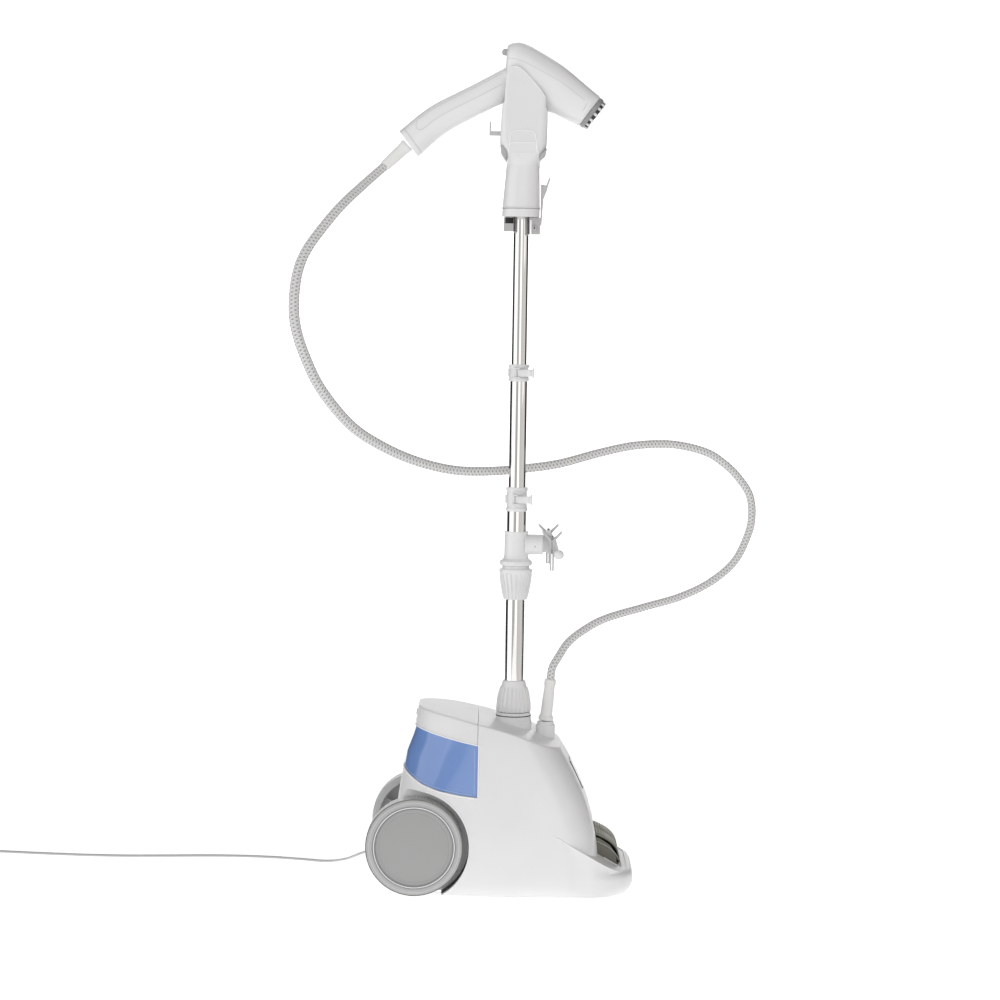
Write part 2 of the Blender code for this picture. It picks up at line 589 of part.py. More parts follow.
def cradle():
    side_view = [
        (-0.0067, 1.1967), (-0.0105, 1.1838), (-0.0145, 1.1335), (-0.0163, 1.0944),
        (-0.0161, 1.0823), (-0.0069, 1.0593), (0.0425, 1.0593), (0.0508, 1.0756),
        (0.0523, 1.1065), (0.0521, 1.1417), (0.0493, 1.1526), (0.0391, 1.1678), (0.0254, 1.1829),
        (0.0121, 1.1959), (0.0009, 1.1984),
    ]
    cup = plate("cradle", side_view, -CRADLE_HALF_Y, CRADLE_HALF_Y, "white")
    room = CRADLE_HALF_Y - CRADLE_WALL
    floor = [(-0.05, 1.1400), (-0.0090, 1.1440), (0.0000, 1.1470), (0.0131, 1.1500),
             (0.0264, 1.1444), (0.0900, 1.1180)]
    combine(cup, plate("cradle_channel", [*floor, (0.09, 1.25), (-0.05, 1.25)], -room, room))
    neck = loft("neck", [
        plan_ring(-0.0120, 0.0430, 0.0265, (0.024, 0.024), (0.024, 0.024), 0.9810, 5),
        plan_ring(-0.0110, 0.0430, 0.0265, (0.024, 0.024), (0.024, 0.024), 1.0000, 5),
        plan_ring(-0.0060, 0.0420, 0.0240, (0.022, 0.022), (0.022, 0.022), 1.0560, 5),
        plan_ring(-0.0050, 0.0400, 0.0240, (0.020, 0.022), (0.020, 0.022), 1.0700, 5),
    ])
    combine(cup, neck, "UNION")
    combine(cup, rod("neck_hollow", (POLE_X, 0, 1.0040), (POLE_X, 0, 1.1200), 0.0210))
    combine(cup, rod("neck_bore", (POLE_X, 0, 0.97), (POLE_X, 0, UPPER_TUBE_Z[1] + GAP),
                     UPPER_TUBE_R + GAP))
    block = box("cradle_clamp", (-0.0090, -0.0130, 0.9560), (0.0440, 0.0130, 0.9806), "light_grey")
    combine(block, rod("clamp_bore", (POLE_X, 0, 0.94), (POLE_X, 0, 0.99), UPPER_TUBE_R + GAP))
    combine(block, box("clamp_gap", (-0.0110, -0.0140, 0.9400), (POLE_X - 0.0004, 0.0140, 0.9600)))
    combine(block, rod("screw_hole", (0.0358, -0.02, 0.9650), (0.0358, 0.0080, 0.9650), 0.0020,
                       sides=12))
    rod("cradle_screw", (0.0358, -0.0134, 0.9650), (0.0358, -0.0160, 0.9650), 0.0040, "steel", sides=20)
    screw = bpy.data.objects["cradle_screw"]
    combine(screw, rod("screw_shank", (0.0358, -0.0140, 0.9650), (0.0358, 0.0070, 0.9650), 0.0016,
                       sides=12), "UNION")
    hook = [(-0.0322, 1.1060), (-0.0322, 1.0990), (-0.0170, 1.0990), (-0.0170, 1.1030),
            (-0.0285, 1.1030), (-0.0285, 1.1190), (-0.0322, 1.1190)]
    plate("cradle_hook", hook, -0.0080, 0.0080, "white")
    side_view = [(0.0449, 0.9690), (0.0480, 0.9690), (0.0496, 1.0150), (0.0560, 1.0200),
                 (0.0585, 1.0380), (0.0560, 1.0390), (0.0520, 1.0260), (0.0495, 1.0370),
                 (0.0449, 1.0370)]
    lever = plate("cradle_lever", side_view, -0.0060, 0.0060, "white")
    origin_at(lever, (0.0463, 0, 0.9700))


def ellipse_ring(top, foot, half_y, steps=24):
    """A ring through two side-view points, half_y wide."""
    middle = Vector(((top[0] + foot[0]) / 2, 0, (top[1] + foot[1]) / 2))
    rise = Vector(((top[0] - foot[0]) / 2, 0, (top[1] - foot[1]) / 2))
    side = Vector((0, half_y, 0))
    return [
        middle + rise * math.cos(2 * math.pi * k / steps) + side * math.sin(2 * math.pi * k / steps)
        for k in range(steps)
    ]


def handset():
    head = [
        ((-0.0086, 1.2270), (-0.0108, 1.1950), 0.0090), ((-0.0050, 1.2315), (-0.0100, 1.1700), 0.0225),
        ((0.0089, 1.2345), (-0.0001, 1.1600), 0.0300), ((0.0250, 1.2297), (0.0131, 1.1522), 0.0318),
        ((0.0397, 1.2220), (0.0264, 1.1466), 0.0318), ((0.0588, 1.2108), (0.0484, 1.1368), 0.0312),
        ((0.0765, 1.1995), (0.0640, 1.1302), 0.0300), ((0.1031, 1.1782), (0.0822, 1.1214), 0.0275),
        ((0.1294, 1.1566), (0.0982, 1.1149), 0.0258),
    ]
    body = loft("handset_shell", [ellipse_ring(*section) for section in head], "white")
    grip = [
        ((0.0300, 1.2040), (0.0150, 1.1560), 0.0200), ((0.0036, 1.2027), (-0.0010, 1.1500), 0.0205),
        ((-0.0116, 1.1967), (-0.0130, 1.1456), 0.0200), ((-0.0572, 1.1721), (-0.0360, 1.1341), 0.0190),
        ((-0.1180, 1.1400), (-0.0933, 1.1025), 0.0190), ((-0.1642, 1.1031), (-0.1359, 1.0658), 0.0200),
    ]
    combine(body, loft("grip", [ellipse_ring(*section, 20) for section in grip]), "UNION")
    passage = [(-0.170, 0, 1.0680), (-0.1500, 0, 1.0845), (-0.1000, 0, 1.1240),
               (-0.0500, 0, 1.1520), (0.0000, 0, 1.1740), (0.0500, 0, 1.1740), (0.1300, 0, 1.1250)]
    route = smooth_route(passage, 0.012)
    hollow = tube("passage", route, 0.0085, "white", 3)
    combine(body, solid_from_curve(hollow))
    nozzle()
    out = (HANDSET_BOOT_TIP - HANDLE_END).normalized()
    boot = rod("handset_boot", HANDLE_END + out * 0.0012, HANDSET_BOOT_TIP, 0.0084, "white",
               end_radius=0.0072, sides=20)
    origin_at(boot, HANDLE_END)
    face, lean = Vector((-0.0091, 0, 1.2195)), math.radians(-86)
    inward = Vector((-math.sin(lean), 0, -math.cos(lean)))
    combine(body, rod("button_pocket", face - inward * 0.01, face + inward * 0.0058, 0.0054, sides=16))
    turned("steam_button", ((0, 0.0066), (0.0035, 0.0060), (0.0048, 0.0038), (0.0050, -0.0020),
                            (0, -0.0020)), "wheel_grey", face, (0, lean, 0), steps=16)


def solid_from_curve(obj):
    """A curve tube as a closed mesh, so that it can cut."""
    graph = bpy.context.evaluated_depsgraph_get()
    mesh = bpy.data.meshes.new_from_object(obj.evaluated_get(graph))
    name = obj.name
    bpy.data.objects.remove(obj)
    bm = bmesh.new()
    bm.from_mesh(mesh)
    bmesh.ops.remove_doubles(bm, verts=bm.verts, dist=0.00001)
    return mesh_object(name, bm, None)


def nozzle():
    """The grey ring and the chrome steam plate on the head's mouth."""
    centre = Vector((0.1138, 0, 1.13575))
    out = Vector((0.0417, 0, -0.0312)).normalized()
    turn = Euler((0, math.atan2(out.x, out.z), 0))
    start = centre + out * GAP
    turned("nozzle_ring", ((0.0230, 0.0072), (0.0256, 0.0), (0.0150, 0.0), (0.0150, 0.0035),
                           (0.0205, 0.0035), (0.0205, 0.0072)), "light_grey", start, turn)
    turned("soleplate", ((0, 0.0120), (0.0175, 0.0120), (0.0201, 0.0098), (0.0201, 0.0040),
                         (0, 0.0040)), "chrome", start, turn)


def hose():
    lean = (HOSE_BOOT_TIP - HOSE_OUTLET).normalized()
    rod("hose_boot", HOSE_OUTLET + lean * 0.0012, HOSE_BOOT_TIP, 0.0087, "white", end_radius=0.0077,
        sides=24)
    points = smooth_route(HOSE_ROUTE, HOSE_R * 2 * 2.7)
    last = max(i for i, point in enumerate(points) if point.z < HOSE_SPLIT_Z)
    middle = (points[last] + points[last + 1]) / 2
    gap = (points[last + 1] - points[last]).normalized() * GAP / 2
    tube("steam_hose", [*points[:last + 1], middle - gap], HOSE_R, "hose", 2)
    tube("handset_hose", [middle + gap, *points[last + 1:]], HOSE_R, "hose", 2)


def mains_lead():
    turned("cord_gland", (
        (0, 0.0285), (0.0036, 0.0285), (0.0058, 0.0037), (0.0088, 0.0037), (0.0088, 0.0021),
        (0.0058, 0.0021), (0.0058, -0.0080), (0, -0.0080),
    ), "white", (GLAND_X, GLAND_Y, GLAND_Z), (0, math.radians(-94), 0), steps=20)
    tube("mains_cord", smooth_route(MAINS_ROUTE, 0.0145), MAINS_R, "lead")
    x, y = COIL_CENTRE
    turned("cord_coil", (
        (COIL_OUTER_R, COIL_HEIGHT - 0.002), (COIL_OUTER_R, 0.0003), (COIL_INNER_R, 0.0003),
        (COIL_INNER_R, COIL_HEIGHT - 0.002), (COIL_INNER_R + 0.002, COIL_HEIGHT),
        (COIL_OUTER_R - 0.002, COIL_HEIGHT),
    ), "lead", (x, y, 0), steps=30)
    plug_y = y - (COIL_OUTER_R + COIL_INNER_R) / 2 - 0.004
    back = x + 0.0330
    body = box("plug", (back + 0.0120, plug_y - 0.0110, 0.0003), (back + 0.0360, plug_y + 0.0110, 0.0150),
               "lead", 0.002)
    combine(body, rod("plug_tail", (back, plug_y, 0.0050), (back + 0.0130, plug_y, 0.0070), 0.0036,
                      end_radius=0.0052, sides=16), "UNION")
    for side, label in ((-1, "right"), (1, "left")):
        low = plug_y + side * 0.00635 - 0.00075
        slot = box(f"plug_slot_{label}", (back + 0.0280, low - GAP, 0.0046), (back + 0.0370,
                   low + 0.0015 + GAP, 0.0114))
        combine(body, slot)
        box(f"plug_blade_{label}", (back + 0.0283, low, 0.0049), (back + 0.0530, low + 0.0015, 0.0111),
            "brass")


def main():
    prepare_scene()
    housing()
    tank()
    base_cover()
    wheels()
    pedals()
    inside()
    pole()
    collar()
    hanger()
    cradle()
    handset()
    hose()
    mains_lead()


main()
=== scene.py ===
import math
from bisect import bisect_right

import bmesh
import bpy
import numpy as np
from mathutils import Matrix, Vector
from mathutils.bvhtree import BVHTree


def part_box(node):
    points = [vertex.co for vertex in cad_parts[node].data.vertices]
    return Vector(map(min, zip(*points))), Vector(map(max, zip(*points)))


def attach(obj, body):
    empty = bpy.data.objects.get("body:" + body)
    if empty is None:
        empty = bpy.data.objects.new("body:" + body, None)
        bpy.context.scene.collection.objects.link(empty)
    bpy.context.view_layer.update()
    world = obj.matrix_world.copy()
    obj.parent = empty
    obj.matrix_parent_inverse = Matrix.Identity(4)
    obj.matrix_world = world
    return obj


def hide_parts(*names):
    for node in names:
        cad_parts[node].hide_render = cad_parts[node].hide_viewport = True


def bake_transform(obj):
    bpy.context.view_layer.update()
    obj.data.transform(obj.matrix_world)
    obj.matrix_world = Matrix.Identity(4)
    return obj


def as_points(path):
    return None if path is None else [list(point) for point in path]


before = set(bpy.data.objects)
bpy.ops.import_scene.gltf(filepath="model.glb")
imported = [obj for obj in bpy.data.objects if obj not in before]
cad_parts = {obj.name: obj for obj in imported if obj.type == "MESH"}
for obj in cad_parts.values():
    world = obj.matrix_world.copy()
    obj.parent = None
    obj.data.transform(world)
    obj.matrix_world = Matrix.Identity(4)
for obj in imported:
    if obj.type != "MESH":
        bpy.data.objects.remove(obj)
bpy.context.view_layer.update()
print("frame loaded:", len(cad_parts), "nodes")

pole = {"x": 0.0165, "lower": 0.014, "middle": 0.0125, "upper": 0.011, "wall": 0.0012}
wheel = {"x": -0.1245, "radius": 0.0705, "face": 0.13, "width": 0.034, "rim": 0.061, "arch": 0.08}
seam = {"x": -0.0346, "capHeight": 0.216, "capRise": 0.21}
inlet = {"x": 0.0643, "top": 0.2385}


# ---- camera, light and stage
# the room all the way round: where, how bright and how warm
studio = {"lens": 100.4, "place": (-0.0083, -4.1, 0.8594), "pitch": 4.1, "roll": 0.9,
          "floor": 0.9, "glow": 0.66, "key": 8, "side": 4, "world": 1.3,
          "strip": ((-9.0, 0.0, 4.0, 5.0), (0.8, 0.8, 1.75, 1.9)), "overhead": (0.5, 0.95, 0.25),
          "room": ((0.0, 0.02, 0), (0.222, 0.02, 0), (0.245, 1, 0), (0.385, 1, 0), (0.41, 0.36, 0.02),
                   (0.48, 0.32, 0.02), (0.5, 1, 0), (0.555, 1, 0), (0.575, 0.46, 0.03), (0.765, 0.54, 0.03),
                   (0.792, 0.03, 0), (1.0, 0.02, 0))}


def makeStudio():
    scene = bpy.context.scene
    camera = linked("camera", bpy.data.cameras.new("camera"))
    camera.data.lens, camera.data.sensor_width, camera.data.clip_end = studio["lens"], 36, 60
    camera.matrix_world = (Matrix.Translation(studio["place"])
                           @ Matrix.Rotation(math.radians(90 - studio["pitch"]), 4, "X")
                           @ Matrix.Rotation(math.radians(studio["roll"]), 4, "Z"))
    scene.camera = camera
    scene.view_settings.view_transform = "Standard"
    for name, spot, size, power, target in (
            ("keyLight", (-1.6, -3.2, 3.4), 2.6, studio["key"], (0, 0, 0.6)),
            ("sideLight", (2.8, -1.4, 2.2), 1.8, studio["side"], (0, 0, 0.5)),
            ("topLight", (0, 0.8, 3.6), 3.0, studio["key"], (0, 0.2, 0)),
            ("backLight", (0, 2.2, 3.4), 2.6, studio["key"], (0, 4.2, 0.6))):
        light = linked(name, bpy.data.lights.new(name, "AREA"))
        light.data.size, light.data.energy, light.location = size, power, spot
        light.rotation_euler = (Vector(target) - Vector(spot)).to_track_quat("-Z", "Y").to_euler()
    # a floor that curves up into a backdrop
    bend, far, high = 1.0, 5.0, 5.0
    curve = [(far - bend + bend * math.sin(a), bend - bend * math.cos(a))
        for a in np.linspace(0, math.pi / 2, 14)]
    line = [(-9.0, 0.0), (0.0, 0.0), *curve, (far, high)]
    mesh = bpy.data.meshes.new("floor")
    verts = [(side * np.interp(y, *studio["strip"]), y, z) for y, z in line for side in (-1, 1)]
    mesh.from_pydata(verts, [], [(2 * i, 2 * i + 1, 2 * i + 3, 2 * i + 2) for i in range(len(line) - 1)])
    mesh.shade_smooth()
    mesh.materials.append(newMaterial("floorPaint", (studio["floor"],) * 3, 0.9, Emission_Color=(1, 1, 1, 1),
                                      Emission_Strength=studio["glow"])[0])
    linked("floor", mesh)
    # a white room with dark flags behind on both sides, so that edges and chrome read
    world = bpy.data.worlds.new("room")
    scene.world = world
    world.use_nodes = True
    tree = world.node_tree
    parts = node(tree, "ShaderNodeSeparateXYZ", node(tree,
        "ShaderNodeTexCoord").outputs["Generated"]).outputs
    around = calc(tree, "ARCTAN2", parts["X"], calc(tree, "MULTIPLY", parts["Y"], -1.0))
    ramp = node(tree, "ShaderNodeValToRGB", calc(tree, "ADD", calc(tree, "DIVIDE", around, 2 * math.pi),
        0.5))
    fillRamp(ramp.color_ramp.elements, [(spot, (level, level * (1 - warmth), level * (1 - 2 * warmth), 1))
                                        for spot, level, warmth in studio["room"]])
    low, top, dim = studio["overhead"]
    background = tree.nodes["Background"].inputs
    feed(tree, remap(tree, parts["Z"], studio["world"], studio["world"] * dim, low, top),
        background["Strength"])
    feed(tree, ramp.outputs[0], background["Color"])


# ---- small helpers for objects and nodes
def linked(name, data):
    made = bpy.data.objects.new(name, data)
    bpy.context.scene.collection.objects.link(made)
    return made


def node(tree, kind, *values, **settings):
    # values fill the first sockets in order, and a capital letter names a socket
    made = tree.nodes.new(kind)
    for key, value in settings.items():
        if key[0].islower():
            setattr(made, key, value)
        else:
            feed(tree, value, made.inputs[key])
    for value, socket in zip(values, made.inputs):
        feed(tree, value, socket)
    return made


def feed(tree, value, socket):
    if isinstance(value, bpy.types.NodeSocket):
        tree.links.new(value, socket)
    else:
        socket.default_value = value


def calc(tree, operation, *values):
    return node(tree, "ShaderNodeMath", *values, operation=operation).outputs[0]


def fillRamp(elements, stops):
    for element, (position, colour) in zip(elements, (stops[0], stops[-1])):
        element.position, element.color = position, colour
    for position, colour in stops[1:-1]:
        elements.new(position).color = colour


def newMaterial(name, colour, roughness, **sockets):
    made = bpy.data.materials.new(name)
    made.use_nodes = True
    inputs = made.node_tree.nodes["Principled BSDF"].inputs
    for key, value in {"Base_Color": (*colour, 1), "Roughness": roughness, **sockets}.items():
        inputs[key.replace("_", " ")].default_value = value
    return made, made.node_tree, inputs


def noise(tree, coords, scale, detail=3.0):
    return node(tree, "ShaderNodeTexNoise", Vector=coords, Scale=scale, Detail=detail).outputs[0]


def remap(tree, value, low, high, fromLow=0.0, fromHigh=1.0):
    return node(tree, "ShaderNodeMapRange", value, fromLow, fromHigh, low, high).outputs[0]


def bump(tree, inputs, height, strength, distance):
    made = node(tree, "ShaderNodeBump", Strength=strength, Distance=distance, Height=height)
    feed(tree, made.outputs[0], inputs["Normal"])


def blendColours(tree, factor, *colours):
    made = node(tree, "ShaderNodeMix", factor, data_type="RGBA")
    for number, colour in zip((6, 7), colours):
        feed(tree, (*colour, 1) if isinstance(colour, tuple) else colour, made.inputs[number])
    return made.outputs[2]


# ---- finishes
# colour, shade, roughness from and to, coat, grains in a metre and how deep they are
finishes = {
    "whitePlastic": ((0.84, 0.84, 0.85), (0.78, 0.78, 0.79), (0.3, 0.4), 0.08, 1400, 0.00003),
    "glossWhite": ((0.87, 0.87, 0.88), (0.83, 0.83, 0.84), (0.16, 0.24), 0.35, 1400, 0.00002),
    "creamPlastic": ((0.86, 0.86, 0.85), (0.81, 0.81, 0.8), (0.36, 0.46), 0.0, 1600, 0.00004),
    "bluePlastic": ((0.19, 0.32, 0.66), (0.165, 0.28, 0.6), (0.08, 0.14), 0.6, 300, 0.00003),
    # a lighter blue for beads on the tank's edges: painted highlight on its bevels
    "blueEdge": ((0.34, 0.47, 0.78), (0.3, 0.43, 0.74), (0.1, 0.18), 0.4, 300, 0.00002),
    # a brighter, glossier white for lip and rim beads: the extra brightness over the body is painted
    # highlight on their edges
    "lipPlastic": ((0.92, 0.92, 0.93), (0.89, 0.89, 0.9), (0.16, 0.24), 0.4, 1400, 0.00002),
    # a grey for the white clips, hook and lever, darker than their white plastic: painted shade
    "clipPlastic": ((0.58, 0.58, 0.59), (0.52, 0.52, 0.53), (0.25, 0.35), 0.2, 1400, 0.00003),
    # a pale grey for thin lines: on the white shells painted shade in the seams, on the grey wheel rim a
    # painted highlight line
    "seamLight": ((0.66, 0.66, 0.67), (0.6, 0.6, 0.61), (0.35, 0.45), 0.0, 900, 0.00002),
    "nozzleGrey": ((0.36, 0.36, 0.36), (0.3, 0.3, 0.3), (0.22, 0.32), 0.2, 1200, 0.00003),
    "greyPlastic": ((0.5, 0.5, 0.5), (0.44, 0.44, 0.44), (0.36, 0.48), 0.0, 1500, 0.00005),
    "rimPlastic": ((0.48, 0.49, 0.485), (0.43, 0.44, 0.435), (0.3, 0.4), 0.1, 1500, 0.00004),
    "olivePlastic": ((0.3, 0.3, 0.24), (0.26, 0.26, 0.205), (0.42, 0.55), 0.0, 1300, 0.00008),
    # a darker copy of the olive, for the pedals' outer side faces and the wheel rim's outer edge: painted
    # shade
    "darkOlive": ((0.175, 0.175, 0.14), (0.145, 0.145, 0.115), (0.42, 0.55), 0.0, 1300, 0.00006),
    "blackPlastic": ((0.03, 0.03, 0.034), (0.022, 0.022, 0.025), (0.14, 0.22), 0.4, 1200, 0.00002),
    # near black, put in gaps, grooves, holes and recesses: painted shade
    "darkGap": ((0.05, 0.05, 0.052), (0.035, 0.035, 0.035), (0.55, 0.7), 0.0, 900, 0.00004),
    # a mid grey for grooves, notches, a seam line and the wheel wells: painted shade
    "seamGrey": ((0.42, 0.42, 0.43), (0.36, 0.36, 0.37), (0.45, 0.55), 0.0, 900, 0.00003),
    # a grey for the mains lead and its plug, darker than their white plastic: painted shade; the feed tube
    # inside shares it
    "leadPlastic": ((0.56, 0.56, 0.56), (0.5, 0.5, 0.5), (0.4, 0.5), 0.0, 1100, 0.00006),
    "rubber": ((0.045, 0.045, 0.045), (0.03, 0.03, 0.03), (0.7, 0.85), 0.0, 900, 0.0001),
}
materials = {}


def mouldedPlastic(name, colour, shade, rough, coat, grain, depth):
    made, tree, inputs = newMaterial(name, colour, rough[0], Coat_Weight=coat, Coat_Roughness=0.06)
    coords = node(tree, "ShaderNodeTexCoord").outputs["Object"]
    feed(tree, blendColours(tree, noise(tree, coords, 14.0, 2.0), colour, shade), inputs["Base Color"])
    feed(tree, remap(tree, noise(tree, coords, 60.0, 4.0), *rough), inputs["Roughness"])
    bump(tree, inputs, noise(tree, coords, grain, 2.0), 0.35, depth)
    return made


# colour, roughness from and to, and the streaks' scale along each axis
metals = {
    "chrome": ((0.93, 0.925, 0.91), (0.06, 0.12), (900, 900, 6)),
    "steel": ((0.55, 0.55, 0.54), (0.22, 0.34), (600, 600, 600)),
    "castAluminium": ((0.62, 0.62, 0.61), (0.38, 0.55), (220, 220, 220)),
    "brass": ((0.68, 0.52, 0.24), (0.22, 0.34), (500, 500, 500)),
}


def bareMetal(name, colour, rough, streak):
    made, tree, inputs = newMaterial(name, colour, rough[0], Metallic=1.0)
    coords = node(tree, "ShaderNodeTexCoord").outputs["Object"]
    lines = noise(tree, node(tree, "ShaderNodeMapping", coords, Scale=streak).outputs[0], 1.0)
    feed(tree, remap(tree, lines, *rough), inputs["Roughness"])
    worn = tuple(0.93 * part for part in colour)
    feed(tree, blendColours(tree, noise(tree, coords, 25.0), colour, worn), inputs["Base Color"])
    bump(tree, inputs, lines, 0.08, 0.00002)
    return made


disc = {"colour": (0.385, 0.39, 0.385), "line": (0.32, 0.325, 0.32), "spacing": 0.0011}


def discFace(name):
    # fine turned lines around the wheel's own axis
    made, tree, inputs = newMaterial(name, disc["colour"], 0.42)
    parts = node(tree, "ShaderNodeSeparateXYZ", node(tree, "ShaderNodeTexCoord").outputs["Object"]).outputs
    squares = []
    for axis, centre in (("X", wheel["x"]), ("Z", wheel["radius"])):
        offset = calc(tree, "SUBTRACT", parts[axis], centre)
        squares.append(calc(tree, "MULTIPLY", offset, offset))
    reach = calc(tree, "SQRT", calc(tree, "ADD", *squares))
    wave = calc(tree, "SINE", calc(tree, "MULTIPLY", reach, 2 * math.pi / disc["spacing"]))
    height = remap(tree, wave, 0.0, 1.0, -1.0, 1.0)
    shade = calc(tree, "MULTIPLY", height, 0.35)
    feed(tree, blendColours(tree, shade, disc["colour"], disc["line"]), inputs["Base Color"])
    feed(tree, remap(tree, height, 0.36, 0.48), inputs["Roughness"])
    bump(tree, inputs, height, 0.3, 0.0001)
    return made


braid = {"around": 8, "perMetre": 360, "yarn": (0.82, 0.82, 0.81), "valleyShade": (0.46, 0.46, 0.47),
         "fleck": (0.22, 0.22, 0.23), "fleckEvery": 2}


def braidedYarn(name):
    # two sets of yarns on the hose's own UV map, one over the other by turns, with grey flecks; the colour
    # darkens towards the weave's low parts: painted shade
    made, tree, inputs = newMaterial(name, braid["yarn"], 0.8, Sheen_Weight=0.25, Sheen_Roughness=0.5)
    parts = node(tree, "ShaderNodeSeparateXYZ", node(tree, "ShaderNodeUVMap",
        uv_map="UVMap").outputs[0]).outputs

    def times(first, second):
        return calc(tree, "MULTIPLY", first, second)

    around, along = times(parts["X"], float(braid["around"])), times(parts["Y"], float(braid["perMetre"]))
    yarns = [calc(tree, operation, around, along) for operation in ("ADD", "SUBTRACT")]
    floors = [calc(tree, "FLOOR", yarn) for yarn in yarns]
    turn = calc(tree, "FLOORED_MODULO", calc(tree, "ADD", *floors), 2.0)
    hills = [calc(tree, "SINE", times(calc(tree, "FRACT", yarn), math.pi)) for yarn in yarns]
    height = calc(tree, "ADD", times(hills[0], turn), times(hills[1], calc(tree, "SUBTRACT", 1.0, turn)))
    threads = calc(tree, "SINE", times(calc(tree, "ADD", yarns[0], times(yarns[1], turn)), 26.0))
    marks = [calc(tree, "LESS_THAN", calc(tree, "FLOORED_MODULO", floor, float(braid["fleckEvery"])), 0.5)
             for floor in floors]
    fleck = times(times(*marks), height)
    # darker where the weave is low: painted shade
    ground = blendColours(tree, calc(tree, "POWER", height, 0.5), braid["valleyShade"], braid["yarn"])
    feed(tree, blendColours(tree, times(fleck, 0.85), ground, braid["fleck"]), inputs["Base Color"])
    bump(tree, inputs, calc(tree, "ADD", height, times(threads, 0.12)), 0.55, 0.0003)
    return made


def makeMaterials():
    for make, looks in ((mouldedPlastic, finishes), (bareMetal, metals)):
        for name, look in looks.items():
            materials[name] = make(name, *look)
    for name, make in (("discPlastic", discFace), ("hoseBraid", braidedYarn)):
        materials[name] = make(name)
    print("finishes made:", len(materials))


# ---- mesh helpers
def roundedLine(points, radius, steps=3, closed=False):
    points = [Vector(point) for point in points]
    line = []
    for i, corner in enumerate(points):
        if not closed and i in (0, len(points) - 1):
            line.append(corner)
            continue
        before, after = points[i - 1], points[(i + 1) % len(points)]
        start = corner + (before - corner).normalized() * min(radius, (before - corner).length * 0.45)
        end = corner + (after - corner).normalized() * min(radius, (after - corner).length * 0.45)
        for step in range(steps + 1):
            t = step / steps
            line.append(start * (1 - t) ** 2 + corner * (2 * t * (1 - t)) + end * t * t)
    return line


def smoothLine(route, spacing):
    # evenly spaced points on a Catmull-Rom curve through the route
    knots = [Vector(point) for point in route]
    knots = [2 * knots[0] - knots[1], *knots, 2 * knots[-1] - knots[-2]]
    fine = [knots[1]]
    for a, b, c, d in zip(knots, knots[1:], knots[2:], knots[3:]):
        for step in range(1, 17):
            t = step / 16
            fine.append(0.5 * (2 * b + (c - a) * t + (2 * a - 5 * b + 4 * c - d) * t**2
                               + (3 * b - a - 3 * c + d) * t**3))
    places = np.array(fine)
    walked = np.concatenate([[0], np.cumsum(np.linalg.norm(np.diff(places, axis=0), axis=1))])
    marks = np.linspace(0, walked[-1], max(2, round(walked[-1] / spacing)) + 1)
    return np.stack([np.interp(marks, walked, places[:, k]) for k in range(places.shape[1])], axis=1)


def curveThrough(rows, column):
    # a smooth curve of one column of a table against its first column
    xs = [row[0] for row in rows]
    ys = [row[column] for row in rows]
    slopes = [(ys[min(i + 1, len(xs) - 1)] - ys[max(i - 1, 0)])
        / (xs[min(i + 1, len(xs) - 1)] - xs[max(i - 1, 0)]) for i in range(len(xs))]

    def value(x):
        x = min(max(x, xs[0]), xs[-1])
        i = min(max(bisect_right(xs, x) - 1, 0), len(xs) - 2)
        h = xs[i + 1] - xs[i]
        t = (x - xs[i]) / h
        return ((2 * t**3 - 3 * t**2 + 1) * ys[i] + (t**3 - 2 * t**2 + t) * h * slopes[i]
                + (3 * t**2 - 2 * t**3) * ys[i + 1] + (t**3 - t**2) * h * slopes[i + 1])
    return value


def linkMesh(name, mesh, finish, smooth=32):
    mesh.materials.clear()
    mesh.materials.append(materials[finish])
    mesh.shade_smooth()
    mesh.set_sharp_from_angle(angle=math.radians(smooth))
    return linked(name, mesh)


def fromBm(name, bm, finish, smooth=32):
    bmesh.ops.recalc_face_normals(bm, faces=bm.faces)
    mesh = bpy.data.meshes.new(name)
    bm.to_mesh(mesh)
    bm.free()
    return linkMesh(name, mesh, finish, smooth)


def loft(name, rings, finish="whitePlastic", smooth=32):
    bm = bmesh.new()
    loops = [[bm.verts.new(point) for point in ring] for ring in rings]
    for low, high in zip(loops, loops[1:]):
        for i in range(len(low)):
            j = (i + 1) % len(low)
            bm.faces.new((low[i], low[j], high[j], high[i]))
    bm.faces.new(loops[0][::-1])
    bm.faces.new(loops[-1])
    return fromBm(name, bm, finish, smooth)


def lathe(name, profile, matrix=None, finish="whitePlastic", steps=96, closed=False, edge=0.0, edgeSteps=3):
    # a profile of (radius, height), with its corners rounded, turned around Z and placed by the matrix
    if edge:
        profile = roundedLine(profile, edge, edgeSteps, closed)
    bm = bmesh.new()
    turns = [2 * math.pi * k / steps for k in range(steps)]
    rings = [[bm.verts.new((0, 0, height))] if radius < 1e-7 else
             [bm.verts.new((radius * math.cos(turn), radius * math.sin(turn), height)) for turn in turns]
             for radius, height in profile]
    for low, high in list(zip(rings, rings[1:])) + ([(rings[-1], rings[0])] if closed else []):
        for k in range(steps):
            after = (k + 1) % steps
            corners = dict.fromkeys((low[k % len(low)], low[after % len(low)], high[after % len(high)],
                                     high[k % len(high)]))
            if len(corners) > 2:
                bm.faces.new(list(corners))
    if matrix:
        bmesh.ops.transform(bm, matrix=matrix, verts=bm.verts)
    return fromBm(name, bm, finish)


def upright(name, x, low, high, radius):
    return cylinder(name, (x, 0, low), (x, 0, high), radius)


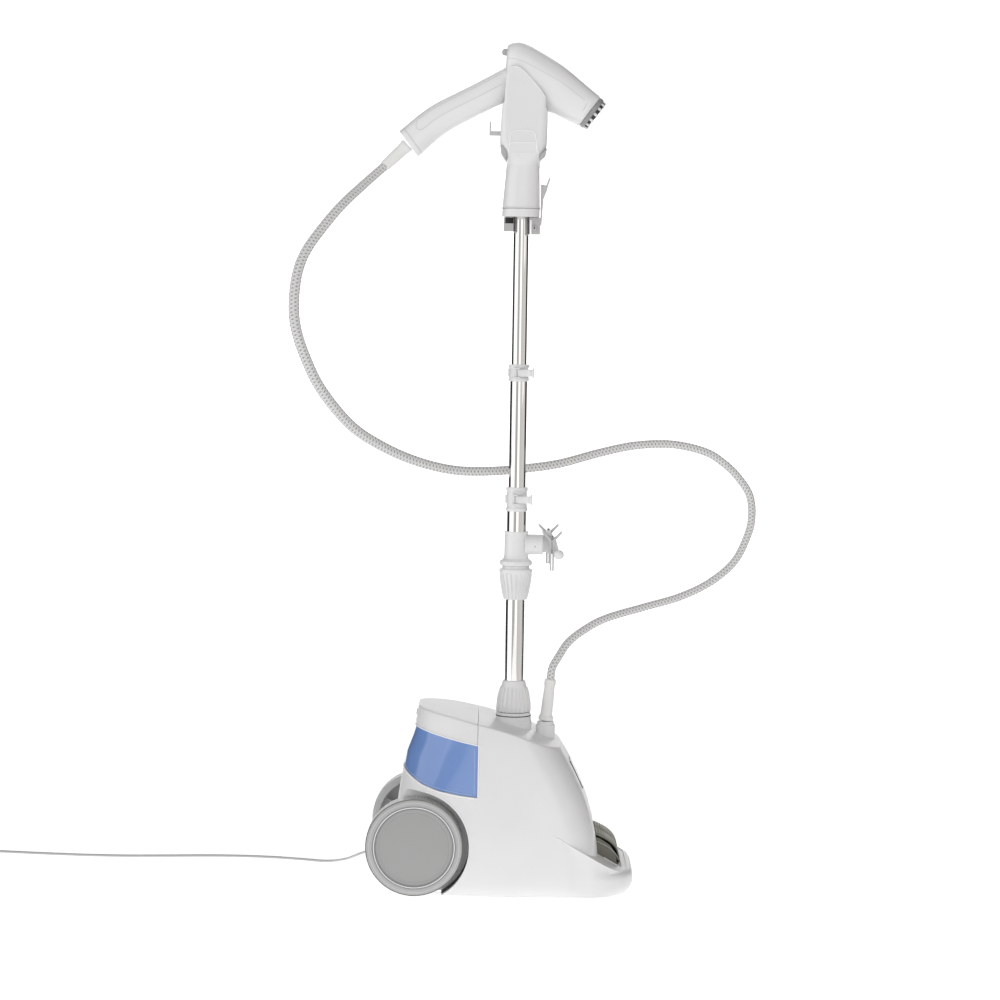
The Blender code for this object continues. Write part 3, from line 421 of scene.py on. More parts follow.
def slab(name, outline, low, high, finish="whitePlastic", edge=0.0006, corner=0.0, matrix=None, smooth=32):
    # an outline in X and Z with rounded corners, extruded along Y, with rounded rims
    outline = roundedLine(outline, corner, 3, closed=True) if corner else outline
    bm = bmesh.new()
    loops = [[bm.verts.new((point[0], y, point[1])) for point in outline] for y in (low, high)]
    for i in range(len(outline)):
        j = (i + 1) % len(outline)
        bm.faces.new((loops[0][i], loops[0][j], loops[1][j], loops[1][i]))
    for loop in loops:
        bm.faces.new(loop)
    if matrix:
        bmesh.ops.transform(bm, matrix=matrix, verts=bm.verts)
    obj = fromBm(name, bm, finish, smooth)
    if edge:
        rounding = obj.modifiers.new("Rounding", "BEVEL")
        rounding.width, rounding.segments = edge, 2
        rounding.limit_method, rounding.angle_limit = "ANGLE", math.radians(48)
        settle(obj, smooth)
    return obj


def settle(obj, smooth=32):
    # the evaluated mesh becomes the object's own
    mesh = bpy.data.meshes.new_from_object(obj.evaluated_get(bpy.context.evaluated_depsgraph_get()))
    obj.modifiers.clear()
    obj.data = mesh
    mesh.shade_smooth()
    mesh.set_sharp_from_angle(angle=math.radians(smooth))
    return obj


def carve(obj, cut=(), add=(), keep=(), smooth=32):
    # Boolean steps with other pieces, which then go
    for operation, others in (("UNION", add), ("INTERSECT", keep), ("DIFFERENCE", cut)):
        for other in others:
            made = obj.modifiers.new(operation, "BOOLEAN")
            made.operation, made.object = operation, other
    settle(obj, smooth)
    for other in (*add, *keep, *cut):
        bpy.data.objects.remove(other)
    return obj


def melt(obj, voxel, rounds, smooth=60):
    # joins everything into one skin with soft fillets
    remesh = obj.modifiers.new("Skin", "REMESH")
    remesh.mode, remesh.voxel_size, remesh.use_smooth_shade = "VOXEL", voxel, True
    relax = obj.modifiers.new("Relax", "SMOOTH")
    relax.factor, relax.iterations = 0.5, rounds
    return settle(obj, smooth)


def joined(name, objects):
    # one mesh of several, closed bodies kept apart
    bm = bmesh.new()
    slots = []
    for obj in objects:
        first, material = len(bm.faces), obj.data.materials[0]
        bm.from_mesh(obj.data)
        bm.faces.ensure_lookup_table()
        if material not in slots:
            slots.append(material)
        for face in bm.faces[first:]:
            face.material_index = slots.index(material)
    mesh = bpy.data.meshes.new(name)
    bm.to_mesh(mesh)
    bm.free()
    for item in slots:
        mesh.materials.append(item)
    for obj in objects:
        bpy.data.objects.remove(obj)
    return linked(name, mesh)


def place(obj, body, slot, *nodes):
    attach(obj, body)
    if nodes:
        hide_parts(*nodes)
    return obj


def along(start, direction, roll="Y"):
    # a matrix that stands Z along a direction
    return Matrix.Translation(start) @ Vector(direction).to_track_quat("Z", roll).to_matrix().to_4x4()


def onPole(height=0.0):
    return Matrix.Translation((pole["x"], 0, height))


def cylinder(name, start, end, radius, finish="whitePlastic", endRadius=None, edge=0.0, steps=64):
    start, end = Vector(start), Vector(end)
    length = (end - start).length
    return lathe(name, [(0, 0), (radius, 0), (endRadius or radius, length), (0, length)],
                 along(start, end - start), finish, steps, edge=edge)


def block(name, low, high, finish="whitePlastic", edge=0.0):
    return slab(name, [(low[0], low[2]), (high[0], low[2]), (high[0], high[2]), (low[0], high[2])], low[1],
        high[1], finish, edge)


def sweepTube(name, path, section, finish, radii=None, flat=False, relief=None):
    # a closed section carried along a path, with u around and v in metres along
    path = np.asarray(path, float)
    count, sides = len(path), len(section)
    tangents = np.gradient(path, axis=0)
    tangents /= np.linalg.norm(tangents, axis=1)[:, None]
    walked = np.concatenate([[0], np.cumsum(np.linalg.norm(np.diff(path, axis=0), axis=1))])
    normals = np.zeros_like(path)
    normal = np.cross(tangents[0], (0, 1, 0.3)) if not flat else None
    for i, tangent in enumerate(tangents):
        if flat:
            side = np.cross(tangent, (0, 0, 1))
            normals[i] = side / np.linalg.norm(side)
            continue
        normal = normal - tangent * (normal @ tangent)
        normal /= np.linalg.norm(normal)
        normals[i] = normal
    binormals = np.cross(tangents, normals)
    section = np.asarray(section, float)
    scale = np.ones(count) if radii is None else np.asarray(radii)
    swell = np.ones((count, sides))
    if relief is not None:
        u = np.arange(sides)[None, :] / sides
        swell = swell + relief(u, walked[:, None]) / scale[:, None]
    points = (path[:, None, :] + normals[:, None, :] * (section[None, :, 0] * scale[:, None] * swell)[:, :,
        None] + binormals[:, None, :] * (section[None, :, 1] * scale[:, None] * swell)[:, :, None])
    verts = points.reshape(-1, 3)
    ring = np.arange(sides)
    after = (ring + 1) % sides
    quads = [np.stack([i * sides + ring, i * sides + after, (i + 1) * sides + after,
        (i + 1) * sides + ring], 1) for i in range(count - 1)]
    faces = np.concatenate(quads)
    caps = [list(range(sides))[::-1], [(count - 1) * sides + k for k in range(sides)]]
    mesh = bpy.data.meshes.new(name)
    mesh.from_pydata(verts.tolist(), [], faces.tolist() + caps)
    layer = mesh.uv_layers.new(name="UVMap")
    uv = np.zeros((len(mesh.loops), 2), np.float32)
    u = np.stack([ring, ring + 1, ring + 1, ring], 1) / sides
    for i in range(count - 1):
        start = i * sides * 4
        uv[start:start + sides * 4, 0] = u.reshape(-1)
        uv[start:start + sides * 4, 1] = np.tile([walked[i], walked[i], walked[i + 1], walked[i + 1]], sides)
    layer.data.foreach_set("uv", uv.reshape(-1))
    bm = bmesh.new()
    bm.from_mesh(mesh)
    bmesh.ops.recalc_face_normals(bm, faces=bm.faces)
    bm.to_mesh(mesh)
    bm.free()
    return linkMesh(name, mesh, finish, 60)


# ---- Geometry Nodes patterns
def newTree(name, **sockets):
    tree = bpy.data.node_groups.new(name, "GeometryNodeTree")
    tree.interface.new_socket("Geometry", in_out="INPUT", socket_type="NodeSocketGeometry")
    for label, value in sockets.items():
        kind = {int: "Int", float: "Float", tuple: "Vector"}[type(value)]
        tree.interface.new_socket(label, in_out="INPUT", socket_type="NodeSocket"
            + kind).default_value = value
    tree.interface.new_socket("Material", in_out="INPUT", socket_type="NodeSocketMaterial")
    tree.interface.new_socket("Geometry", in_out="OUTPUT", socket_type="NodeSocketGeometry")
    return tree, tree.nodes.new("NodeGroupInput").outputs


def endTree(tree, source, given):
    whole = node(tree, "GeometryNodeRealizeInstances", source.outputs[0])
    smooth = node(tree, "GeometryNodeSetShadeSmooth", whole.outputs[0])
    finish = node(tree, "GeometryNodeSetMaterial", smooth.outputs[0], Material=given["Material"])
    node(tree, "NodeGroupOutput", finish.outputs[0])
    return tree


def ribTree():
    # rounded ribs around Z, each an ellipsoid of the given size
    tree, given = newTree("ribRing", Count=16, Radius=0.02, Size=(0.002, 0.002, 0.02), Lean=0.0)
    circle = node(tree, "GeometryNodeMeshCircle", Vertices=given["Count"], Radius=given["Radius"])
    ball = node(tree, "GeometryNodeMeshUVSphere", Segments=12, Rings=8, Radius=0.5)
    shape = node(tree, "GeometryNodeTransform", Geometry=ball.outputs["Mesh"], Scale=given["Size"])
    index = node(tree, "GeometryNodeInputIndex").outputs[0]
    angle = calc(tree, "DIVIDE", calc(tree, "MULTIPLY", index, 2 * math.pi), given["Count"])
    turn = node(tree, "ShaderNodeCombineXYZ", Z=angle, Y=given["Lean"])
    euler = node(tree, "FunctionNodeEulerToRotation", turn.outputs[0])
    copies = node(tree, "GeometryNodeInstanceOnPoints", Points=circle.outputs["Mesh"],
        Instance=shape.outputs[0], Rotation=euler.outputs[0])
    return endTree(tree, copies, given)


def beadTree():
    # a round bead along an edge path
    tree, given = newTree("edgeBead", Radius=0.0007)
    line = node(tree, "GeometryNodeMeshToCurve", given["Geometry"])
    circle = node(tree, "GeometryNodeCurvePrimitiveCircle", Resolution=10, Radius=given["Radius"])
    solid = node(tree, "GeometryNodeCurveToMesh", Curve=line.outputs[0])
    feed(tree, circle.outputs[0], solid.inputs["Profile Curve"])
    solid.inputs["Fill Caps"].default_value = True
    return endTree(tree, solid, given)


def studTree():
    # a short round stud on each point, all turned the same way
    tree, given = newTree("studs", Radius=0.001, Depth=0.001, Turn=(0.0, 0.0, 0.0))
    stud = node(tree, "GeometryNodeMeshCylinder", Vertices=16, Radius=given["Radius"], Depth=given["Depth"])
    euler = node(tree, "FunctionNodeEulerToRotation", given["Turn"])
    copies = node(tree, "GeometryNodeInstanceOnPoints", Points=given["Geometry"],
        Instance=stud.outputs["Mesh"], Rotation=euler.outputs[0])
    return endTree(tree, copies, given)


def grow(name, tree, finish="whitePlastic", matrix=None, points=(), edges=(), smooth=40, **values):
    # runs a tree on points and keeps the plain mesh
    mesh = bpy.data.meshes.new(name)
    mesh.from_pydata([tuple(point) for point in points], list(edges), [])
    obj = linked(name, mesh)
    pattern = obj.modifiers.new("Pattern", "NODES")
    pattern.node_group = tree
    values["Material"] = materials[finish]
    for item in tree.interface.items_tree:
        if item.in_out == "INPUT" and item.name in values:
            pattern[item.identifier] = values[item.name]
    settle(obj, smooth)
    if matrix:
        obj.data.transform(matrix)
    return obj


def bead(name, points, radius, finish="whitePlastic", closed=False):
    edges = [(i, i + 1) for i in range(len(points) - 1)] + ([(len(points) - 1, 0)] if closed else [])
    return grow(name, beads, finish, points=points, edges=edges, Radius=radius)


# ---- hose and mains lead
hose = {"radius": 0.00675, "sides": 40, "step": 0.0009, "split": 0.835, "relief": 0.00028}
hoseRoute = (
    (0.0705, 0.0, 0.2985), (0.073, 0.002, 0.317), (0.082, 0.008, 0.333), (0.097, 0.02, 0.354),
    (0.122, 0.035, 0.372), (0.154, 0.052, 0.387), (0.21, 0.08, 0.401), (0.267, 0.1, 0.416),
    (0.314, 0.115, 0.438), (0.35, 0.125, 0.469), (0.37, 0.13, 0.51), (0.375, 0.13, 0.539),
    (0.371, 0.13, 0.569), (0.354, 0.128, 0.595), (0.331, 0.123, 0.617), (0.301, 0.118, 0.635),
    (0.25, 0.108, 0.646), (0.194, 0.096, 0.644), (0.141, 0.084, 0.633), (0.082, 0.07, 0.617),
    (0.036, 0.06, 0.61), (-0.024, 0.045, 0.605), (-0.079, 0.028, 0.607), (-0.134, 0.005, 0.621),
    (-0.184, -0.02, 0.644), (-0.228, -0.045, 0.675), (-0.269, -0.075, 0.727),
    (-0.292, -0.09, 0.775), (-0.305, -0.095, 0.816), (-0.308, -0.095, 0.853), (-0.304, -0.09, 0.892),
    (-0.294, -0.082, 0.922), (-0.276, -0.07, 0.951), (-0.246, -0.05, 0.99),
    (-0.214, -0.022, 1.0235), (-0.182, 0.0, 1.0541),
)
# how far along the hose, and its radius there: it is stretched thinner on the loop nearest the base
hoseGirth = ((0.0, 0.0058), (0.25, 0.0057), (0.65, 0.0061), (0.95, 0.0068), (1.15, 0.0076), (1.35, 0.0077),
             (1.5, 0.007), (1.66, 0.0063))


def weaveHeight(u, v):
    # the same weave as the finish, as real relief
    first, second = u * braid["around"] + v * braid["perMetre"], u * braid["around"] - v * braid["perMetre"]
    turn = np.mod(np.floor(first) + np.floor(second), 2)
    hills = np.sin(np.pi * np.mod(first, 1)) * turn + np.sin(np.pi * np.mod(second, 1)) * (1 - turn)
    return hose["relief"] * (hills - 0.5)


def roundSection(sides, radius=1.0):
    return [(radius * math.cos(2 * math.pi * k / sides), radius * math.sin(2 * math.pi * k / sides))
            for k in range(sides)]


def makeHose():
    path = smoothLine(hoseRoute, hose["step"])
    walked = np.concatenate([[0], np.cumsum(np.linalg.norm(np.diff(path, axis=0), axis=1))])
    girth = np.interp(walked, [row[0] for row in hoseGirth], [row[1] for row in hoseGirth])
    cut = int(np.max(np.nonzero(path[:, 2] < hose["split"])[0]))
    lengths = (float(walked[cut]), float(walked[-1] - walked[cut]))
    lower = sweepTube("hoseLower", path[:cut + 1], roundSection(hose["sides"]), "hoseBraid",
                      radii=girth[:cut + 1], relief=weaveHeight)
    upper = sweepTube("hoseUpper", path[cut:], roundSection(hose["sides"]), "hoseBraid",
                      radii=girth[cut:], relief=weaveHeight)
    split = Vector(path[cut])
    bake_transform(lower)
    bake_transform(upper)
    for piece, cad, part, exitPoint, length in (
            (lower, "steam_hose", path[:cut + 1], hoseRoute[0], lengths[0]),
            (upper, "handset_hose", path[cut:], tuple(split), lengths[1])):
        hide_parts(cad)
        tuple(exitPoint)
        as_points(part)
    print("hose made, metres:", round(sum(lengths), 3))


lead = {"width": 0.0066, "thick": 0.0033, "groove": 0.0007, "turns": 5.5, "step": 0.004,
        "coil": (-0.87, 0.1), "columns": (0.0321, 0.0389), "layer": 0.0035}
leadRoute = (
    (-0.1798, 0.03, 0.036), (-0.188, 0.0305, 0.0352), (-0.207, 0.044, 0.0275),
    (-0.232, 0.07, 0.013), (-0.262, 0.092, 0.0045), (-0.3, 0.11, 0.0028),
    (-0.345, 0.122, 0.0028), (-0.395, 0.128, 0.0028), (-0.45, 0.127, 0.0028),
    (-0.51, 0.121, 0.0028), (-0.57, 0.116, 0.0028), (-0.63, 0.117, 0.0028),
    (-0.69, 0.123, 0.0028), (-0.745, 0.131, 0.0028), (-0.79, 0.1375, 0.0028),
    (-0.82, 0.1395, 0.0026),
)


def twinSection():
    # two round cores side by side with a shallow groove between them
    half, thick, groove = lead["width"] / 2, lead["thick"] / 2, lead["groove"]
    section = []
    for k in range(28):
        angle = 2 * math.pi * k / 28
        across = half * math.cos(angle)
        core = (half - thick) * (1 if across > 0 else -1)
        reach = thick * math.sqrt(max(0.0, 1 - min(1.0, abs(across - core) / thick) ** 2))
        height = min(thick, max(reach, thick - groove if abs(across) < abs(core) else 0))
        section.append((across, height * (1 if math.sin(angle) >= 0 else -1)))
    return section


def coilTurns():
    # turns wound in two columns and three layers, from the outside foot to the inside top and back
    inner, outer = lead["columns"]
    centre = lead["coil"]
    points = []
    steps = 40
    total = round(lead["turns"] * steps)
    for k in range(1, total + 1):
        turn = k / steps
        layer = int(turn / 2)
        share = turn / 2 - layer
        swing = (1 - math.cos(2 * math.pi * min(max((share - 0.25) / 0.5 if layer % 2 == 0 else share, 0),
            0.5))) / 2
        column = outer + (inner - outer) * (swing if share < 0.75 else 1 - min(1, (share - 0.75) * 4))
        angle = math.pi / 2 + 2 * math.pi * turn
        height = 0.0021 + lead["layer"] * (turn / 2)
        points.append((centre[0] + column * math.cos(angle), centre[1] + column * math.sin(angle), height))
    return points


def makeLead():
    turns = coilTurns()
    x, y = lead["coil"]
    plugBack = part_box("plug")[0]
    tail = [(x + 0.012, y - 0.04, 0.0105), (x + 0.024, y - 0.04, 0.0075),
        (plugBack.x + 0.0005, y - 0.0395, 0.006)]
    join = smoothLine([*leadRoute, (-0.8464, 0.1393, 0.0022), *turns[::5], *tail], lead["step"])
    # the lead in a grey darker than its white plastic: painted shade
    obj = sweepTube("mainsLead", join, twinSection(), "leadPlastic", flat=True)
    place(obj, "root", "lead_sheath", "mains_cord", "cord_coil")
    # plug body with finger grips, made round the two blades, in the lead's grey: painted shade
    low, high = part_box("plug")
    middle = (low + high) / 2
    body = block("plugBody", (low.x + 0.012, low.y, low.z), (high.x, high.y, high.z), "leadPlastic", 0.0022)
    neck = cylinder("plugNeck", (low.x, middle.y, 0.0055), (low.x + 0.013, middle.y, 0.0072), 0.004,
                    "leadPlastic", endRadius=0.0062, edge=0.0008, steps=40)
    ridges = [block(f"ridge{k}", (low.x + 0.016 + 0.0032 * k, low.y - 0.0006, low.z + 0.003),
                    (low.x + 0.0176 + 0.0032 * k, high.y + 0.0006, high.z - 0.003), "leadPlastic", 0.0005)
              for k in range(4)]
    plug = place(joined("plugShell", [body, neck, *ridges]), "root", "lead_sheath", "plug")
    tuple(leadRoute[0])
    low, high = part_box("cord_gland")
    middle = ((low.y + high.y) / 2, 0.038)
    profile = [(0, 0.029), (0.0044, 0.0285)]
    for ring in range(5):
        height = 0.025 - 0.0042 * ring
        profile += [(0.0047 + 0.00035 * ring, height), (0.0039 + 0.00035 * ring, height - 0.0007),
                    (0.0039 + 0.00035 * ring, height - 0.0015), (0.0049 + 0.00035 * ring, height - 0.0022)]
    profile += [(0.0062, 0.0037), (0.0088, 0.0037), (0.0088, 0.0021), (0.0058, 0.0021), (0.0058, -0.008),
        (0, -0.008)]
    stand = along((-0.1505, middle[0], middle[1]), (-math.cos(math.radians(4)), 0,
        -math.sin(math.radians(4))))
    place(lathe("leadGland", profile, stand, steps=48), "root", "white_plastic", "cord_gland")


# ---- the base's outer skin
# height, rear X, front X, half width and the rear corners' two radii
towerLevels = (
    (0.0015, -0.14, 0.14, 0.127, 0.04, 0.045), (0.01, -0.148, 0.142, 0.1295, 0.045, 0.05),
    (0.06, -0.153, 0.1415, 0.1285, 0.045, 0.05), (0.0903, -0.154, 0.137, 0.127, 0.047, 0.052),
    (0.119, -0.152, 0.1288, 0.124, 0.052, 0.056), (0.142, -0.149, 0.1203, 0.121, 0.06, 0.062),
    (0.1617, -0.1462, 0.1112, 0.1175, 0.07, 0.068), (0.183, -0.1425, 0.1003, 0.1135, 0.08, 0.074),
    (0.202, -0.1388, 0.089, 0.109, 0.085, 0.075), (0.211, -0.1348, 0.084, 0.107, 0.085, 0.075),
    (0.2296, -0.1285, 0.0735, 0.102, 0.085, 0.075), (0.25, -0.1262, 0.06, 0.0965, 0.085, 0.073),
    (0.29, -0.118, 0.035, 0.085, 0.08, 0.07),
)
roofLine = (
    (-0.16, 0.27), (-0.142, 0.2685), (-0.1225, 0.2655), (-0.109, 0.263), (-0.071, 0.257),
    (-0.0346, 0.2487), (-0.009, 0.2422), (0.0147, 0.2355), (0.031, 0.23), (0.0545, 0.2213),
    (0.0707, 0.215), (0.11, 0.2), (0.15, 0.186),
)
toeLevels = ((0.0015, 0.186, 0.058, 0.074), (0.006, 0.192, 0.062, 0.078), (0.013, 0.195, 0.065, 0.08),
             (0.025, 0.195, 0.065, 0.08), (0.031, 0.1915, 0.063, 0.078), (0.0335, 0.186, 0.06, 0.075),
             (0.1, 0.186, 0.06, 0.075))
toeSlope = ((0.086, 0.0845), (0.129, 0.06), (0.157, 0.043), (0.176, 0.0325))
tankFloor = ((-0.17, 0.202), (-0.15, 0.183), (-0.135, 0.171), (-0.115, 0.16), (-0.09, 0.152),
             (-0.06, 0.146), (-0.0346, 0.143))
base = {"crown": 0.25, "frontRound": (0.048, 0.06), "roofEdge": 0.003, "cornerSteps": 14, "sideSteps": 10,
        "wall": 0.003, "toeRear": 0.03, "toeHalf": 0.1288, "bossTop": 0.2466, "lip": 0.0014,
        "wellWall": 0.0915, "toeTaper": 0.006}
skin = {}


def planRing(rear, front, half, rearRound, frontRound, height, steps, between=1):
    ring = []
    for x, y, radii, start in ((front, half, frontRound, 0), (rear, half, rearRound, 90),
                               (rear, -half, rearRound, 180), (front, -half, frontRound, 270)):
        centreX = x - radii[0] if x == front else x + radii[0]
        centreY = y - math.copysign(radii[1], y)
        for step in range(steps + 1):
            angle = math.radians(start + 90 * step / steps)
            ring.append((centreX + radii[0] * math.cos(angle), centreY + radii[1] * math.sin(angle), height))
    if between < 2:
        return ring
    full = []
    for i, point in enumerate(ring):
        full.append(point)
        if i % (steps + 1) == steps:
            after = ring[(i + 1) % len(ring)]
            full += [tuple(np.array(point) + (np.array(after) - point) * k / between)
                for k in range(1, between)]
    return full


def towerSkin(name, inset):
    # walls that turn into the roof with one soft edge, all round
    levels = [curveThrough(towerLevels, column) for column in range(1, 6)]
    roof = curveThrough(roofLine, 1)
    heights = np.linspace(0.0015, 0.29, 140)
    rings = []
    for z in heights:
        rear, front, half, roundX, roundY = (level(z) for level in levels)
        rings.append(planRing(rear + inset, front - inset, half - inset, (roundX, roundY),
            base["frontRound"], z, base["cornerSteps"], base["sideSteps"]))
    rings = np.array(rings)
    columns = rings.shape[1]
    edge = base["roofEdge"]
    foot = -0.01 if inset else 0.0015

    def roofAt(x, y):
        return roof(x) - inset - base["crown"] * y * y

    centre = np.array((-0.03, 0.0))
    wallSteps, edgeSteps, roofSteps = 26, 8, 15
    grid = np.zeros((wallSteps + edgeSteps + roofSteps, columns, 3))
    for c in range(columns):
        line = rings[:, c, :]
        above = np.array([roofAt(x, y) - z for x, y, z in line])
        cross = int(np.nonzero(above < 0)[0][0])
        share = above[cross - 1] / (above[cross - 1] - above[cross])
        corner = line[cross - 1] + (line[cross] - line[cross - 1]) * share

        def wallAt(z):
            return np.array([np.interp(z, heights, line[:, 0]), np.interp(z, heights, line[:, 1]), z])

        start = wallAt(corner[2] - edge)
        inward = centre - corner[:2]
        inward /= np.linalg.norm(inward)
        inner = corner[:2] + inward * edge
        end = np.array([*inner, roofAt(*inner)])
        for k in range(wallSteps):
            z = 0.0015 + (start[2] - 0.0015) * k / (wallSteps - 1)
            grid[k, c] = wallAt(z)
            if k == 0:
                grid[k, c, 2] = foot
        for k in range(edgeSteps):
            t = (k + 1) / edgeSteps
            grid[wallSteps + k, c] = start * (1 - t) ** 2 + corner * 2 * t * (1 - t) + end * t * t
        for k in range(roofSteps):
            t = (k + 1) / (roofSteps + 0.25)
            spot = inner + (centre - inner) * t
            grid[wallSteps + edgeSteps + k, c] = (*spot, roofAt(*spot))
    return loft(name, grid, smooth=50)


def toeSkin(name, inset):
    slope = curveThrough(toeSlope, 1)
    rings = [planRing(base["toeRear"], front - inset, base["toeHalf"] - inset, (0.01, 0.01), (rx, ry),
                      -0.01 if inset and z < 0.002 else z, 18)
             for z, front, rx, ry in toeLevels]
    # the rear end dives into the tower's side
    rings = [[(x, y - math.copysign(base["toeTaper"], y) if x < 0.06 else y, z) for x, y, z in ring]
        for ring in rings]
    toe = loft(name, rings, smooth=50)
    line = [(x, slope(x) - inset) for x in np.linspace(0.086, 0.176, 14)]
    wedge = slab(name + "Wedge", [(0.0, line[0][1] + 0.05), *line, (0.25, line[-1][1]), (0.25, 0.3),
        (0.0, 0.3)], -0.2, 0.2, edge=0)
    return carve(toe, [wedge])


def bayBlock(name, inset, ceiling=0.4):
    line = [(x - inset * (x == seam["x"]), z + inset) for x, z in tankFloor]
    return slab(name, [*line, (line[-1][0], ceiling), (line[0][0], ceiling)], -0.2, 0.2, edge=0)


def capLine(x):
    return seam["capHeight"] + seam["capRise"] * (seam["x"] - x)


def capBlock(name, rise, above):
    near, far, limit = 0.02, -0.2, 0.4 if above else 0.0
    return slab(name, [(far, capLine(far) + rise), (near, capLine(near) + rise), (near, limit),
        (far, limit)], -0.2, 0.2, edge=0)


def skinTree(obj):
    bm = bmesh.new()
    bm.from_mesh(obj.data)
    tree = BVHTree.FromBMesh(bm)
    bm.free()
    return tree


def skinLine(tree, height, start, end, count, out=0.0, centre=(-0.075, 0.0)):
    # points on the skin where its height is a function of X, seen round from the centre
    line = []
    for angle in np.linspace(math.radians(start), math.radians(end), count):
        direction = Vector((math.cos(angle), math.sin(angle), 0))
        z = height(-0.09)
        for _ in range(8):
            hit = tree.ray_cast(Vector((*centre, z)), direction)[0]
            z = height(hit.x)
        line.append(hit + direction * out)
    return line


def wheelWell(side, wall):
    # room for a wheel, or a cutter that leaves a wall round that room
    return cylinder("well", (wheel["x"], side * (base["wellWall"] - wall), wheel["radius"]),
        (wheel["x"], side * 0.16, wheel["radius"]), wheel["arch"] + wall, steps=96 if wall else 128)


def sideHit(tree, x, z, side, reach=0.0):
    # the skin at X and Z, seen from the middle outwards, or inwards from a reach away
    return tree.ray_cast(Vector((x, side * reach, z)), Vector((0, -side if reach else side, 0)))[0]


def onArch(reach, angle):
    return wheel["x"] + reach * math.cos(angle), wheel["radius"] + reach * math.sin(angle)


def makeHousing():
    outer, inner = towerSkin("baseShell", 0.0), towerSkin("baseInside", base["wall"])
    skin["tree"] = skinTree(outer)
    boss = lathe("boss", [(0, 0.19), (0.0274, 0.19), (0.027, 0.2395), (0.0262, 0.2405), (0.0262, 0.242),
                          (0.0258, base["bossTop"]), (0, base["bossTop"])], onPole(), edge=0.0008)
    pad = lathe("pad", [(0, 0.19), (0.0146, 0.19), (0.014, 0.2335), (0.0125, 0.234), (0.0122, inlet["top"]),
                        (0, inlet["top"])], Matrix.Translation((inlet["x"], 0, 0)), steps=64, edge=0.0008)
    # the hollow keeps walls around the wheel wells, the tank's bay and the boss
    carve(inner, [wheelWell(-1, base["wall"]), wheelWell(1, base["wall"]),
        bayBlock("bayWall", -base["wall"]), upright("bossWall", pole["x"], 0.19, 0.3, 0.025)])
    shell = carve(outer, [inner, toeSkin("toeInside", base["wall"]), bayBlock("bay", 0.0), wheelWell(-1, 0),
        wheelWell(1, 0), upright("nutRoom", pole["x"], base["bossTop"] + 0.00001, 0.3, 0.0268),
        upright("poleHole", pole["x"], 0.17, 0.3, 0.0212),
        upright("hoseHole", inlet["x"], 0.18, 0.26, 0.006),
        cylinder("axleHole", (wheel["x"], -0.12, wheel["radius"]), (wheel["x"], 0.12, wheel["radius"]),
        0.0043), cylinder("glandHole", (-0.17, 0.03, 0.038), (-0.13, 0.03, 0.038), 0.0063),
        block("pedalSlot", (0.11, -0.0545, 0.02), (0.179, 0.0545, 0.0965)),
        windowBlock("windowHole", 0.0, 0.02)], add=[toeSkin("toe", 0.0), boss, pad], smooth=38)
    place(shell, "root", "white_plastic", "housing")
    print("housing shell made:", len(shell.data.polygons), "faces")


def windowBlock(name, shrink, depth):
    top, foot = Vector((0.1013, 0, 0.183)), Vector((0.1207, 0, 0.1425))
    down = (foot - top).normalized()
    out = Vector((-down.z, 0, down.x))
    piece = block(name, (-0.023 + shrink, shrink, -depth),
        (0.023 - shrink, (foot - top).length - shrink, 0.0008), "blackPlastic")
    piece.data.transform(Matrix.Translation(top) @ Matrix((Vector((0, 1, 0)), down,
        out)).transposed().to_4x4())
    bm = bmesh.new()
    bm.from_mesh(piece.data)
    bmesh.ops.recalc_face_normals(bm, faces=bm.faces)
    bm.to_mesh(piece.data)
    bm.free()
    return piece


